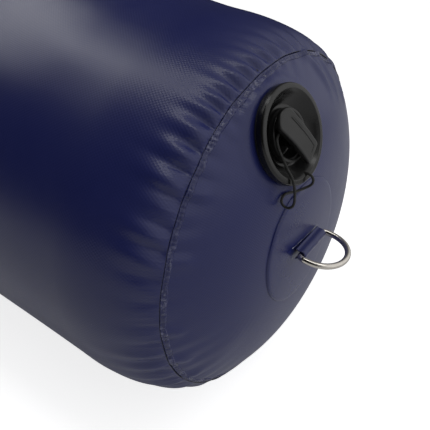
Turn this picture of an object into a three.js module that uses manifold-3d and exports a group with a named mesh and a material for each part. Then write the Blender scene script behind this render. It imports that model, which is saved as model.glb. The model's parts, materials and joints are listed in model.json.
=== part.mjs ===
// Inflatable fender: a coated-cloth tube with a domed disc welded into each end, a large
// screw-cap air valve in the front disc, and a D-ring on a round patch on both discs.
// Millimetres, +Z up. The tube lies along X on the floor (Z = 0) with the valve end at +X.
import * as THREE from "three";
import * as BufferGeometryUtils from "three/addons/utils/BufferGeometryUtils.js";
import Module from "manifold-3d";

const wasm = await Module();
wasm.setup();

// Envelope
const seamRadius = 165; // half the width of the ring where disc and tube are welded
const tubeLength = 1000; // seam to seam
const seamHeight = 162; // centre of the end discs above the floor
const sagRatio = 0.919; // a soft tube lies a little lower than it is wide
const shoulderSwell = 26; // how far the shoulder swells past the seam
const shoulderLength = 72;
const shoulderRoundShare = 0.784; // the rest of the swell is made close to the seam
const shoulderSharpness = 6;
const barrelSwell = 13.4; // further growth towards the middle of the tube
const barrelRise = 31; // how far the tube's centre line rises past the shoulder
const barrelReach = 148; // distance over which both build up
const barrelOnset = 45; // how far before the shoulder's end that growth sets in
const domeHeight = 25.7;
const domeSharpness = 3.84;
const domeBaseHeight = 13.7;
const skin = 1.0; // coated cloth
const clearance = 0.3; // between pieces that touch
const lapWidth = 11; // disc cloth that runs on under the tube's edge
const floorBlend = 6;
const gatherDepth = 3.2;
const rearGatherDepth = 2.4;
const gatherStart = 6;
const gatherPeak = 20;
const gatherLength = 58;
const discGatherDepth = 1.3;
const seamTapeWidth = 5.4;
const seamTapeThickness = 0.8;
const tapeLift = 0.3; // weld bead under the tape
const lapTapeWidth = 32;
const lapTapeThickness = 0.8;
const lapTapeAngle = -0.62; // where the lengthwise joint runs, from level on the far side
const frontColumns = 96;
const rearColumns = 72;
const middleColumns = 48;

// D-ring and its patch
const patchRadius = 56;
const patchThickness = 1.2;
const frontPatchY = -25;
const patchGap = 6.4; // from the valve's flange to the patch
const rearPatchY = 0;
const rearPatchZ = 8;
const ringWire = 5;
const ringHalfWidth = 24; // centre line
const ringDepth = 30.5; // centre line, from the bar
const ringCorner = 3.4;
const strapThickness = 1.3;
const strapFootHalf = 9.5;
const barStandoff = 5.2; // bar's centre line above the strap's foot
const frontRingDrop = 6; // degrees below level
const rearRingDrop = 90; // hangs straight down

// Valve, on its own axis: w = 0 is the line of the cloth before the valve flattens it
const valveInset = 42.9; // from the seam to the valve's centre
const valveBearing = 21.22; // degrees round from the top of the disc
const valveNoseDrop = 2; // degrees the valve leans down from the cloth's own normal
const valveSink = 1.2; // how far it is pressed into the dome
const flangeRadius = 36.1;
const flangeTop = 7;
const flangeChamfer = 0.9;
const flangeUnder = 1.2;
const rimWidth = 4.3;
const barrelOuter = 28; // wall of the dish below the flange
const barrelFoot = -12;
const throatOuter = 20.6;
const throatRadius = 17.6;
const throatFoot = -31;
const seatLevel = -2.2;
const seatWidth = 4.8;
const clothHoleGap = 0.9;
const gasketWidth = 6.6;
const nutRadius = 31;
const clampedRadius = 34.5; // the cloth is flat out to here
const clampFade = 15;
const nutHeight = 6;
const coreTop = -20;
const coreFoot = -27;
const coreLip = 12.5;
const coreHub = 5.2;
const stemRadius = 2.2;
const ledgeRadius = 15.2;
const poppetRadius = 14.3;
const poppetThickness = 2.2;
const buttonRadius = 5.2;
const buttonTop = -12.9;
const buttonThickness = 1.8;
const springWire = 0.8;
const springRadius = 3.6;
const springTurns = 3.5;

// Cap
const capRim = 19.6;
const capTop = 3;
const capSkirt = 17.3;
const capFoot = -13;
const capFloorTop = -9;
const capFloor = 2;
const cupTop = 17.2;
const cupFoot = 14.6;
const capPost = 8;
const capNeck = 5.6;
const neckShoulder = -0.2;
const sealThickness = 1.2;
const grip = 47; // length of the bar handle
const gripHalf = 9.3;
const gripWaist = 2;
const gripUnder = 6;
const gripTop = 10;
const gripAngle = -45.7;
const gripShift = 0.5;
const swivelWidth = 2.7;
const swivelHeight = 2.1;
const swivelAngle = 157.7;
const swivelEar = 1.9;
const cordDiameter = 2;
const cordHoleGap = 0.5;

// Heights above the cloth line at a ring patch
const patchTop = patchThickness + 2 * clearance - skin - clearance;
const strapFoot = patchTop + clearance;
const barOut = strapFoot + barStandoff;

const TAU = Math.PI * 2;
const mix = (a, b, t) => a + (b - a) * t;
const clamp = (x) => Math.min(1, Math.max(0, x));
const smooth = (a, b, x) => {
  const t = clamp((x - a) / (b - a));
  return t * t * (3 - 2 * t);
};

// Keeps a soft surface on the floor: flat where it would sink, with a short rounded blend.
const onFloor = (z) => {
  if (z >= floorBlend) return z;
  if (z <= -floorBlend) return 0;
  return (z + floorBlend) ** 2 / (4 * floorBlend);
};

// Pleats near a seam. The number of pleats follows the columns, four columns to a pleat.
function pleat(theta, columns) {
  const phase = (theta / TAU) * columns * 0.25 * TAU;
  const wander = 0.9 * Math.sin(3 * theta + 0.7) + 0.6 * Math.sin(7 * theta + 2.1);
  const strength = 0.62 + 0.38 * Math.sin(5 * theta + 1.1 + 0.8 * Math.sin(2 * theta));
  return strength * (0.5 - 0.5 * Math.cos(phase + wander));
}

// Distance past the shoulder's end, with a rounded start.
function pastShoulder(s) {
  const t = s - shoulderLength;
  if (t >= barrelOnset) return t;
  return Math.max(0, t + barrelOnset) ** 2 / (4 * barrelOnset);
}

// A point of the tube's outer surface at the distance s from a seam, in seam coordinates:
// x runs back from the seam, z is above the floor.
function tubePoint(theta, s, depth, columns) {
  const u = clamp(1 - s / shoulderLength);
  const near = shoulderRoundShare * u * u + (1 - shoulderRoundShare) * u ** shoulderSharpness;
  const grown = 1 - Math.exp(-pastShoulder(s) / barrelReach);
  let r = seamRadius + shoulderSwell * (1 - near) + barrelSwell * grown;
  if (depth > 0 && s < gatherLength) {
    const rise = smooth(gatherStart, gatherPeak, s);
    const fade = s < gatherPeak ? rise : 1 - smooth(gatherPeak, gatherLength, s);
    r -= depth * fade * pleat(theta, columns);
  }
  const sine = Math.sin(theta);
  const lift = barrelRise * grown * (1 - 0.5 * smooth(0.7, 1, -sine));
  const z = seamHeight + sagRatio * r * sine + lift;
  return new THREE.Vector3(-s, r * Math.cos(theta), onFloor(z));
}

function tubeFrame(theta, s, depth, columns) {
  const e = 1e-3;
  const p = tubePoint(theta, s, depth, columns);
  const around = tubePoint(theta + e, s, 0, columns).sub(tubePoint(theta - e, s, 0, columns));
  const from = Math.max(0, s - 0.5);
  const along = tubePoint(theta, s + 0.5, 0, columns).sub(tubePoint(theta, from, 0, columns));
  const n = new THREE.Vector3().crossVectors(along, around).normalize();
  if (n.y * Math.cos(theta) + n.z * Math.sin(theta) < 0) n.negate();
  return { p, n };
}

// Height of the dome over the seam's plane, with y and z measured from the disc's centre.
function domeX(y, z) {
  const q = Math.min(1, Math.hypot(y, z / sagRatio) / seamRadius);
  return domeBaseHeight * (1 - q * q) + domeHeight * (1 - q ** domeSharpness);
}

function domeFrame(y, z) {
  const e = 0.05;
  const k = Math.max(1, Math.hypot(y, z / sagRatio) / (seamRadius - 0.2));
  const cy = y / k;
  const cz = z / k;
  const n = new THREE.Vector3(
    1,
    -(domeX(cy + e, cz) - domeX(cy - e, cz)) / (2 * e),
    -(domeX(cy, cz + e) - domeX(cy, cz - e)) / (2 * e),
  ).normalize();
  return { p: new THREE.Vector3(domeX(y, z), y, seamHeight + z), n };
}

// The valve's place on the disc and its own axes, in the front seam's coordinates.
const valveReach = seamRadius - valveInset;
const valveY = -valveReach * Math.sin((valveBearing * Math.PI) / 180);
const valveZ = sagRatio * valveReach * Math.cos((valveBearing * Math.PI) / 180);
const patchReach = flangeRadius + patchRadius + patchGap;
const frontPatchZ = valveZ - Math.sqrt(patchReach ** 2 - (frontPatchY - valveY) ** 2);
const valveSeat = domeFrame(valveY, valveZ);
valveSeat.p.addScaledVector(valveSeat.n, -valveSink);
const valveOut = valveSeat.n.clone();
valveOut.applyAxisAngle(new THREE.Vector3(0, 1, 0), (valveNoseDrop * Math.PI) / 180).normalize();
const valveSide = new THREE.Vector3(0, 0, 1).cross(valveOut).normalize();
const valveUp = valveOut.clone().cross(valveSide).normalize();
const tapeInner = 1 - (seamTapeWidth + 0.4) / seamRadius; // where the seam tape ends
const clothTop = -(skin + clearance); // disc cloth's outer face, under the tube's surface
const barrelGap = barrelOuter + clothHoleGap;
const clampShare = 0.953; // towards the seam the cloth is free to fall away from the valve

// Outer face of a disc's cloth. Near the valve the cloth is clamped flat.
function discPoint(y, z, depth, columns, withValve, below) {
  const { p, n } = domeFrame(y, z);
  const q = Math.hypot(y, z / sagRatio) / seamRadius;
  const theta = Math.atan2(z / sagRatio, y);
  const band = smooth(0.7, 0.9, q) * (1 - smooth(0.9, 0.965, q));
  const point = p.addScaledVector(n, clothTop - depth * band * pleat(theta, columns));
  if (withValve) {
    const d = point.clone().sub(valveSeat.p);
    const across = Math.hypot(d.dot(valveSide), d.dot(valveUp));
    const flatness = 1 - smooth(clampedRadius, clampedRadius + clampFade, across);
    const away = flatness * (1 - smooth(clampShare, 1, q));
    point.addScaledVector(valveOut, (clothTop - d.dot(valveOut)) * away);
    n.lerp(valveOut, away).normalize();
  }
  return point.addScaledVector(n, -below);
}

// Part of a disc at a fraction q of the seam's radius, or on the lap under the tube for q > 1.
function discAt(theta, q, depth, tubeDepth, columns, withValve, below) {
  if (q < 1) {
    const y = q * seamRadius * Math.cos(theta);
    const z = q * seamRadius * sagRatio * Math.sin(theta);
    return discPoint(y, z, depth, columns, withValve, below);
  }
  const s = ((q - 1) / 0.1) * lapWidth;
  const { p, n } = tubeFrame(theta, s, tubeDepth, columns);
  if (q === 1) {
    const rim = domeFrame(seamRadius * Math.cos(theta), seamRadius * sagRatio * Math.sin(theta));
    n.add(rim.n).normalize();
  }
  return p.addScaledVector(n, clothTop - below);
}

// Closed surfaces from rows of points. Rows may differ in their number of points.
function weave(rows, closed) {
  const positions = [];
  const starts = [];
  for (const row of rows) {
    starts.push(positions.length / 3);
    for (const p of row) positions.push(p.x, p.y, p.z);
  }
  const index = [];
  const last = closed ? rows.length : rows.length - 1;
  for (let k = 0; k < last; k += 1) {
    const a = rows[k];
    const b = rows[(k + 1) % rows.length];
    const sa = starts[k];
    const sb = starts[(k + 1) % rows.length];
    let i = 0;
    let j = 0;
    while (i < a.length || j < b.length) {
      const stepA = a.length > 1 && (b.length === 1 || (i + 1) / a.length <= (j + 1) / b.length);
      const takeA = a.length > 1 && i < a.length && (stepA || j >= b.length || b.length === 1);
      if (takeA) {
        index.push(sa + (i % a.length), sa + ((i + 1) % a.length), sb + (j % b.length));
        i += 1;
      } else if (b.length > 1 && j < b.length) {
        index.push(sa + (i % a.length), sb + ((j + 1) % b.length), sb + (j % b.length));
        j += 1;
      } else {
        break;
      }
    }
  }
  return facing(fromArrays(positions, index));
}

function fromArrays(positions, index) {
  const g = new THREE.BufferGeometry();
  g.setAttribute("position", new THREE.Float32BufferAttribute(positions, 3));
  g.setIndex(index);
  return g;
}

// Turns a closed geometry's faces outwards.
function facing(g) {
  const p = g.attributes.position;
  const index = g.index.array;
  const a = new THREE.Vector3();
  const b = new THREE.Vector3();
  const c = new THREE.Vector3();
  let volume = 0;
  for (let t = 0; t < index.length; t += 3) {
    a.fromBufferAttribute(p, index[t]);
    b.fromBufferAttribute(p, index[t + 1]);
    c.fromBufferAttribute(p, index[t + 2]);
    volume += a.dot(b.cross(c));
  }
  if (volume < 0) {
    for (let t = 0; t < index.length; t += 3) {
      const keep = index[t + 1];
      index[t + 1] = index[t + 2];
      index[t + 2] = keep;
    }
  }
  g.computeVertexNormals();
  return g;
}

function solid(geometry) {
  let g = geometry.clone();
  g.deleteAttribute("normal");
  g.deleteAttribute("uv");
  if (!g.index) g.setIndex(Array.from({ length: g.attributes.position.count }, (_, i) => i));
  g = facing(BufferGeometryUtils.mergeVertices(g, 1e-4));
  const mesh = new wasm.Mesh({
    numProp: 3,
    vertProperties: new Float32Array(g.attributes.position.array),
    triVerts: new Uint32Array(g.index.array),
  });
  return new wasm.Manifold(mesh);
}

function geometryOf(manifold) {
  const mesh = manifold.getMesh();
  const g = fromArrays(Array.from(mesh.vertProperties), Array.from(mesh.triVerts));
  g.computeVertexNormals();
  return g;
}

function material(color, roughness, metalness) {
  return new THREE.MeshStandardMaterial({ color, roughness, metalness });
}

const navy = () => material(0x23274f, 0.42, 0.0);
const navyTape = () => material(0x2a2f55, 0.4, 0.0);
const black = () => material(0x1a1a1b, 0.36, 0.0);
const rubber = () => material(0x101011, 0.7, 0.0);
const steel = () => material(0xc9c8c4, 0.2, 1.0);

function named(name, geometry, look) {
  const mesh = new THREE.Mesh(geometry, look);
  mesh.name = name;
  return mesh;
}

const columnsAt = (count) => Array.from({ length: count }, (_, i) => (i / count) * TAU - Math.PI / 2);

// Tube. Rows from the front seam to the rear seam: distance from the nearer seam, and columns.
const frontRows = [0, lapWidth, gatherPeak, 34, 60];
const rearRows = [0, lapWidth, 25, 58];
const middleRows = [86, 125, 185, 280, tubeLength / 2];

function tubeRow(s, side, columns, depth, patternColumns, below) {
  return columnsAt(columns).map((theta) => {
    const { p, n } = tubeFrame(side > 0 ? theta : Math.PI - theta, s, depth, patternColumns);
    p.addScaledVector(n, -below);
    return new THREE.Vector3(side * (tubeLength / 2 + p.x), side * p.y, p.z);
  });
}

function tubeSide(below) {
  const front = frontRows.map((s) => tubeRow(s, 1, frontColumns, gatherDepth, frontColumns, below));
  const frontMiddle = middleRows.map((s) => tubeRow(s, 1, middleColumns, 0, frontColumns, below));
  const rearMiddle = middleRows.slice(0, -1)
    .map((s) => tubeRow(s, -1, middleColumns, 0, rearColumns, below));
  const rear = rearRows.map((s) => tubeRow(s, -1, rearColumns, rearGatherDepth, rearColumns, below));
  return [...front, ...frontMiddle, ...rearMiddle.reverse(), ...rear.reverse()];
}

const tubeGeometry = weave([...tubeSide(0), ...tubeSide(skin).reverse()], true);
const tube = named("tube_skin", tubeGeometry, navy());

// Strip that seals the tube's lengthwise joint from the inside, bent with the tube's own rows.
function lapTape() {
  const rows = [];
  const half = lapTapeWidth / (2 * (seamRadius + shoulderSwell));
  const top = skin + 2 * clearance;
  const rearStations = middleRows.slice(0, -1).reverse();
  const stations = [...middleRows.map((s) => [s, 1]), ...rearStations.map((s) => [s, -1])];
  for (const [s, side] of stations) {
    const place = (theta, below) => {
      const { p, n } = tubeFrame(theta, s, 0, frontColumns);
      p.addScaledVector(n, -below);
      return new THREE.Vector3(side * (tubeLength / 2 + p.x), p.y, p.z);
    };
    const upper = [-1, 0, 1].map((k) => place(lapTapeAngle + k * half, top));
    const lower = [1, 0, -1].map((k) => place(lapTapeAngle + k * half, top + lapTapeThickness));
    rows.push([...upper, ...lower]);
  }
  const middle = (row) => row.reduce((sum, p) => sum.add(p), new THREE.Vector3()).divideScalar(row.length);
  return weave([[middle(rows[0])], ...rows, [middle(rows[rows.length - 1])]], false);
}

const tubeTape = named("tube_joint_tape", lapTape(), navyTape());

// Discs. The front disc has a round hole for the valve, so its cloth is triangulated from points in
// the plane: rings along the seam, rings around the hole, and a loose grid between them.
function triangulate(points) {
  const far = 40;
  const all = [...points, [-far, -far], [far, -far], [0, far]];
  const n = points.length;
  const circle = (a, b, c) => {
    const [ax, ay] = all[a];
    const [bx, by] = all[b];
    const [cx, cy] = all[c];
    const d = 2 * (ax * (by - cy) + bx * (cy - ay) + cx * (ay - by));
    const a2 = ax * ax + ay * ay;
    const b2 = bx * bx + by * by;
    const c2 = cx * cx + cy * cy;
    const x = (a2 * (by - cy) + b2 * (cy - ay) + c2 * (ay - by)) / d;
    const y = (a2 * (cx - bx) + b2 * (ax - cx) + c2 * (bx - ax)) / d;
    return { a, b, c, x, y, r: (ax - x) ** 2 + (ay - y) ** 2 };
  };
  let triangles = [circle(n, n + 1, n + 2)];
  for (let i = 0; i < n; i += 1) {
    const [px, py] = all[i];
    const edges = new Map();
    const keep = [];
    for (const t of triangles) {
      if ((px - t.x) ** 2 + (py - t.y) ** 2 >= t.r * (1 - 1e-12)) {
        keep.push(t);
        continue;
      }
      for (const [u, v] of [[t.a, t.b], [t.b, t.c], [t.c, t.a]]) {
        const back = `${v},${u}`;
        if (edges.has(back)) edges.delete(back);
        else edges.set(`${u},${v}`, [u, v]);
      }
    }
    for (const [u, v] of edges.values()) keep.push(circle(u, v, i));
    triangles = keep;
  }
  return triangles.filter((t) => t.a < n && t.b < n && t.c < n).map((t) => [t.a, t.b, t.c]);
}

function frontDiscGeometry() {
  const points = [];
  const spots = [];
  const jitter = (i, k) => 1e-5 * Math.sin(12.9898 * i + 78.233 * k);
  const rimRows = [1.1, 1, tapeInner, 0.9, 0.83];
  for (const q of rimRows) {
    columnsAt(frontColumns).forEach((theta, i) => {
      const y = q * seamRadius * Math.cos(theta);
      const z = q * seamRadius * sagRatio * Math.sin(theta);
      if (q < 0.96 && Math.hypot(y - valveY, z - valveZ) < clampedRadius + 2) return;
      points.push([q * Math.cos(theta) + jitter(i, q), q * Math.sin(theta) + jitter(i, q + 1)]);
      spots.push({ theta, q });
    });
  }
  // Points around the valve are laid out in its plane, then dropped on to the dome.
  const around = 32;
  const holeRings = [barrelGap, clampedRadius, clampedRadius + clampFade / 2, clampedRadius + clampFade];
  const holeStart = points.length;
  for (const radius of holeRings) {
    for (let i = 0; i < around; i += 1) {
      const a = (i / around) * TAU;
      const d = valveSide.clone().multiplyScalar(radius * Math.cos(a));
      d.addScaledVector(valveUp, radius * Math.sin(a)).add(valveSeat.p);
      const v = [d.y / seamRadius, (d.z - seamHeight) / (sagRatio * seamRadius)];
      const q = Math.hypot(v[0], v[1]);
      if (q > (radius > clampedRadius ? 0.79 : 0.952)) continue;
      points.push([v[0] + jitter(i, radius), v[1] + jitter(i, radius + 1)]);
      spots.push({ y: d.y, z: d.z - seamHeight });
    }
  }
  const step = 0.14;
  for (let row = -7; row <= 7; row += 1) {
    for (let col = -7; col <= 7; col += 1) {
      const px = (col + (row % 2 === 0 ? 0 : 0.5)) * step;
      const py = row * step * 0.866;
      const y = px * seamRadius;
      const z = py * seamRadius * sagRatio;
      if (Math.hypot(px, py) > 0.75) continue;
      if (Math.hypot(y - valveY, z - valveZ) < flangeRadius + 26) continue;
      points.push([px + jitter(col, row), py + jitter(row, col)]);
      spots.push({ y, z });
    }
  }
  const onHole = (i) => i >= holeStart && i < holeStart + around;
  const triangles = triangulate(points).filter((t) => !t.every(onHole));
  const place = (spot, below) => {
    if (spot.q !== undefined) {
      return discAt(spot.theta, spot.q, discGatherDepth, gatherDepth, frontColumns, true, below);
    }
    return discPoint(spot.y, spot.z, discGatherDepth, frontColumns, true, below);
  };
  const positions = [];
  for (const below of [0, skin]) {
    for (const spot of spots) {
      const p = place(spot, below);
      positions.push(p.x, p.y, p.z);
    }
  }
  const n = spots.length;
  const index = [];
  const edges = new Map();
  for (const [a, b, c] of triangles) {
    index.push(a, b, c, c + n, b + n, a + n);
    for (const [u, v] of [[a, b], [b, c], [c, a]]) {
      if (edges.has(`${v},${u}`)) edges.delete(`${v},${u}`);
      else edges.set(`${u},${v}`, [u, v]);
    }
  }
  for (const [u, v] of edges.values()) index.push(v, u, u + n, v, u + n, v + n);
  return facing(fromArrays(positions, index));
}

function rearDiscGeometry() {
  const face = (below) => {
    const rows = [];
    for (const q of [1.1, 1, tapeInner, 0.9, 0.8]) {
      rows.push(columnsAt(rearColumns).map((theta) => (
        discAt(theta, q, discGatherDepth, rearGatherDepth, rearColumns, false, below)
      )));
    }
    for (const q of [0.64, 0.44, 0.22]) {
      rows.push(columnsAt(rearColumns / 2).map((t) => discAt(t, q, 0, 0, rearColumns, false, below)));
    }
    rows.push([discAt(0, 0, 0, 0, rearColumns, false, below)]);
    return rows;
  };
  const outer = face(0);
  const inner = face(skin);
  return weave([...outer.reverse(), ...inner], false);
}

// Narrow tape welded over the step beside the tube's edge.
function seamTapeGeometry(columns, withValve) {
  const low = -(clearance + tapeLift);
  const high = low - seamTapeThickness;
  const edge = 0.4 / (seamTapeWidth + 0.4);
  const rows = [];
  for (const theta of columnsAt(columns)) {
    const place = (share, below) => {
      const rim = discAt(theta, 1, 0, 0, columns, withValve, below);
      return rim.lerp(discAt(theta, tapeInner, 0, 0, columns, withValve, below), share);
    };
    rows.push([place(edge, low), place(0.84, low), place(0.84, high), place(edge, high)]);
  }
  return weave(rows, true);
}

// A round patch that follows the disc's cloth.
function patchGeometry(cy, cz, withValve) {
  const low = -clearance;
  const high = low - patchThickness;
  const row = (radius, below, count) => {
    const ring = [];
    for (let i = 0; i < count; i += 1) {
      const a = (i / count) * TAU;
      const y = cy + radius * Math.cos(a);
      const z = cz + radius * Math.sin(a);
      ring.push(discPoint(y, z, 0, frontColumns, withValve, below));
    }
    return ring;
  };
  const rows = [[discPoint(cy, cz, 0, frontColumns, withValve, high)]];
  rows.push(row(patchRadius * 0.45, high, 12));
  rows.push(row(patchRadius - 1, high, 40));
  rows.push(row(patchRadius, high + 0.5, 40));
  rows.push(row(patchRadius, low, 40), row(patchRadius * 0.75, low, 20), row(patchRadius * 0.4, low, 10));
  rows.push([discPoint(cy, cz, 0, frontColumns, withValve, low)]);
  return weave(rows, false);
}

// Strap folded round the ring's bar, with a flat foot: its section in X and Z, drawn along Y.
function strapGeometry() {
  const length = 2 * (ringHalfWidth - ringCorner);
  const eye = ringWire / 2 + clearance;
  const outer = eye + strapThickness;
  const shape = new THREE.Shape();
  shape.moveTo(0, -strapFootHalf);
  shape.lineTo(0, strapFootHalf);
  shape.lineTo(strapThickness, strapFootHalf);
  shape.quadraticCurveTo(strapThickness + 0.3, outer, barStandoff, outer);
  shape.absarc(barStandoff, 0, outer, Math.PI / 2, -Math.PI / 2, true);
  shape.quadraticCurveTo(strapThickness + 0.3, -outer, strapThickness, -strapFootHalf);
  shape.lineTo(0, -strapFootHalf);
  const hole = new THREE.Path();
  hole.absarc(barStandoff, 0, eye, 0, TAU, false);
  shape.holes.push(hole);
  const g = new THREE.ExtrudeGeometry(shape, { depth: length, bevelEnabled: false, curveSegments: 8 });
  g.translate(0, 0, -length / 2);
  g.rotateX(Math.PI / 2);
  return geometryOf(solid(g));
}

// D-ring in its own plane: the bar lies along Y through the origin and the bow reaches +X.
function ringGeometry() {
  const path = [];
  const w = ringHalfWidth;
  const c = ringCorner;
  const bow = ringDepth - c - 3;
  for (const y of [-1, -0.5, 0, 0.5, 1]) path.push([0, y * (w - c)]);
  for (const a of [30, 60, 90]) {
    const t = (a * Math.PI) / 180;
    path.push([c - c * Math.cos(t), w - c + c * Math.sin(t)]);
  }
  for (let i = 0; i <= 16; i += 1) {
    const t = (i / 16) * Math.PI;
    path.push([ringDepth - bow + bow * Math.sin(t) ** 0.9, w * Math.cos(t)]);
  }
  for (const a of [90, 60, 30]) {
    const t = (a * Math.PI) / 180;
    path.push([c - c * Math.cos(t), -(w - c + c * Math.sin(t))]);
  }
  const rows = [];
  const sides = 8;
  for (let i = 0; i < path.length; i += 1) {
    const [ax, ay] = path[(i + path.length - 1) % path.length];
    const [bx, by] = path[(i + 1) % path.length];
    const tangent = new THREE.Vector2(bx - ax, by - ay).normalize();
    const ring = [];
    for (let k = 0; k < sides; k += 1) {
      const a = ((k + 0.5) / sides) * TAU;
      const out = (ringWire / 2) * Math.cos(a);
      const [x, y] = path[i];
      ring.push(new THREE.Vector3(x + out * tangent.y, y - out * tangent.x, (ringWire / 2) * Math.sin(a)));
    }
    rows.push(ring);
  }
  return weave(rows, true);
}

// Valve pieces are drawn about their own axis, local Z.
function lathe(profile, segments) {
  const g = new THREE.LatheGeometry(profile.map(([r, w]) => new THREE.Vector2(r, w)), segments);
  g.rotateX(Math.PI / 2);
  return solid(g);
}

const closedProfile = (points) => [...points, points[0]];

const cordPathPoints = [
  [-10.4, 4.3, 1.5],
  [-12.0, 4.6, 2.6],
  [-13.9, 4.7, 3.7],
  [-16.0, 4.1, 4.4],
  [-17.7, 2.6, 4.5],
  [-18.5, 0.5, 4.5],
  [-18.5, -3.2, 4.4],
  [-17.4, -8.0, 4.35],
  [-15.6, -13.0, 4.35],
  [-14.2, -17.8, 4.45],
  [-13.7, -21.4, 5.0],
  [-13.9, -24.6, 6.6],
  [-14.6, -27.9, 8.3],
  [-15.2, -31.2, 9.1],
  [-15.7, -34.8, 9.3],
  [-16.5, -38.6, 9.3],
  [-17.2, -41.3, 9.0],
  [-17.8, -44.2, 8.5],
  [-18.4, -46.8, 7.0],
  [-19.0, -48.1, 4.1],
  [-19.4, -47.4, 1.2],
  [-19.6, -45.3, -0.8],
  [-19.2, -42.8, -1.35],
  [-17.5, -40.5, -0.95],
  [-15.0, -39.4, -0.75],
  [-12.0, -39.7, -0.7],
  [-8.4, -40.4, -0.5],
  [-4.8, -41.1, 0.0],
  [-1.6, -41.5, 1.1],
  [1.3, -41.4, 2.7],
  [3.7, -40.9, 4.8],
  [5.1, -40.1, 7.0],
  [5.7, -38.9, 9.1],
  [5.9, -37.2, 10.5],
  [5.9, -35.1, 11.0],
  [5.85, -32.9, 10.4],
  [5.75, -31.1, 8.7],
  [5.7, -30.3, 6.2],
  [5.7, -30.3, 4.2],
  [5.7, -30.3, 1.9],
];
const cordEnd = cordPathPoints[cordPathPoints.length - 1];

function valveBodyGeometry() {
  const rim = flangeRadius - rimWidth;
  const seatEdge = throatRadius + seatWidth;
  let body = lathe(closedProfile([
    [flangeRadius, flangeUnder],
    [flangeRadius, flangeTop - 2 * flangeChamfer],
    [flangeRadius - flangeChamfer, flangeTop],
    [rim, flangeTop],
    [rim - 0.7, flangeTop - 0.5],
    [mix(seatEdge, rim, 0.56), mix(seatLevel, flangeTop, 0.48)],
    [mix(seatEdge, rim, 0.22), mix(seatLevel, flangeTop, 0.15)],
    [seatEdge, seatLevel],
    [throatRadius, seatLevel],
    [throatRadius, coreFoot - clearance],
    [ledgeRadius, coreFoot - clearance],
    [ledgeRadius, throatFoot],
    [throatOuter, throatFoot],
    [throatOuter, barrelFoot - 4],
    [barrelOuter, barrelFoot],
    [barrelOuter, flangeUnder],
  ]), 40);
  const holeRadius = cordDiameter / 2 + cordHoleGap;
  const hole = new THREE.CylinderGeometry(holeRadius, holeRadius, 12, 10);
  hole.rotateX(Math.PI / 2);
  hole.translate(cordEnd[0], cordEnd[1], cordEnd[2] - 0.6 + 6);
  body = body.subtract(solid(hole));
  return geometryOf(body);
}

const gasketInner = barrelOuter + clearance;
const gasket = lathe(closedProfile([
  [gasketInner, clothTop + clearance],
  [gasketInner + gasketWidth, clothTop + clearance],
  [gasketInner + gasketWidth, flangeUnder - clearance],
  [gasketInner, flangeUnder - clearance],
]), 40);

const nutTop = clothTop - skin - clearance;
const nut = lathe(closedProfile([
  [gasketInner, nutTop],
  [nutRadius, nutTop],
  [nutRadius, nutTop - nutHeight + 1],
  [nutRadius - 1, nutTop - nutHeight],
  [gasketInner, nutTop - nutHeight],
]), 36);

// Screw-in core: a ring with the seat, three arms and a hub that guides the stem.
function coreGeometry() {
  const outer = throatRadius - clearance;
  let core = lathe(closedProfile([
    [outer, coreTop],
    [outer, coreFoot],
    [coreLip, coreFoot],
    [coreLip, coreFoot + 2],
    [outer - 2, coreFoot + 3.4],
    [outer - 2, coreTop],
  ]), 30);
  for (let k = 0; k < 3; k += 1) {
    const arm = new THREE.BoxGeometry(coreLip + 1, 2.2, 3);
    arm.translate((coreLip + 1) / 2, 0, coreFoot + 2);
    arm.rotateZ((k * TAU) / 3);
    core = core.add(solid(arm));
  }
  const hub = new THREE.CylinderGeometry(coreHub, coreHub, 4.4, 20);
  hub.rotateX(Math.PI / 2);
  hub.translate(0, 0, coreFoot + 2.7);
  const bore = new THREE.CylinderGeometry(stemRadius + 0.35, stemRadius + 0.35, 40, 20);
  bore.rotateX(Math.PI / 2);
  bore.translate(0, 0, coreFoot);
  return geometryOf(core.add(solid(hub)).subtract(solid(bore)));
}

const hubTop = coreFoot + 2.7 + 2.2;
const poppetTop = coreFoot - clearance;
const buttonFoot = buttonTop - buttonThickness;
const poppet = lathe([
  [0, buttonTop],
  [buttonRadius - 0.6, buttonTop],
  [buttonRadius, buttonTop - 0.6],
  [buttonRadius, buttonFoot],
  [stemRadius, buttonFoot],
  [stemRadius, poppetTop],
  [poppetRadius, poppetTop],
  [poppetRadius, poppetTop - poppetThickness],
  [0, poppetTop - poppetThickness],
], 24);

class Coil extends THREE.Curve {
  getPoint(t, target = new THREE.Vector3()) {
    const a = t * springTurns * TAU;
    const low = hubTop + clearance + springWire / 2;
    const high = buttonFoot - clearance - springWire / 2;
    return target.set(springRadius * Math.cos(a), springRadius * Math.sin(a), mix(low, high, t));
  }
}

function roundSection(radius, sides) {
  const shape = new THREE.Shape();
  for (let k = 0; k <= sides; k += 1) {
    const a = (k / sides) * TAU;
    if (k === 0) shape.moveTo(radius, 0);
    else if (k < sides) shape.lineTo(radius * Math.cos(a), radius * Math.sin(a));
  }
  return shape;
}

function along(curve, radius, sides, steps) {
  const section = roundSection(radius, sides);
  const options = { steps, extrudePath: curve, bevelEnabled: false, curveSegments: 1 };
  const g = new THREE.ExtrudeGeometry(section, options);
  return geometryOf(solid(g));
}

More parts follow.
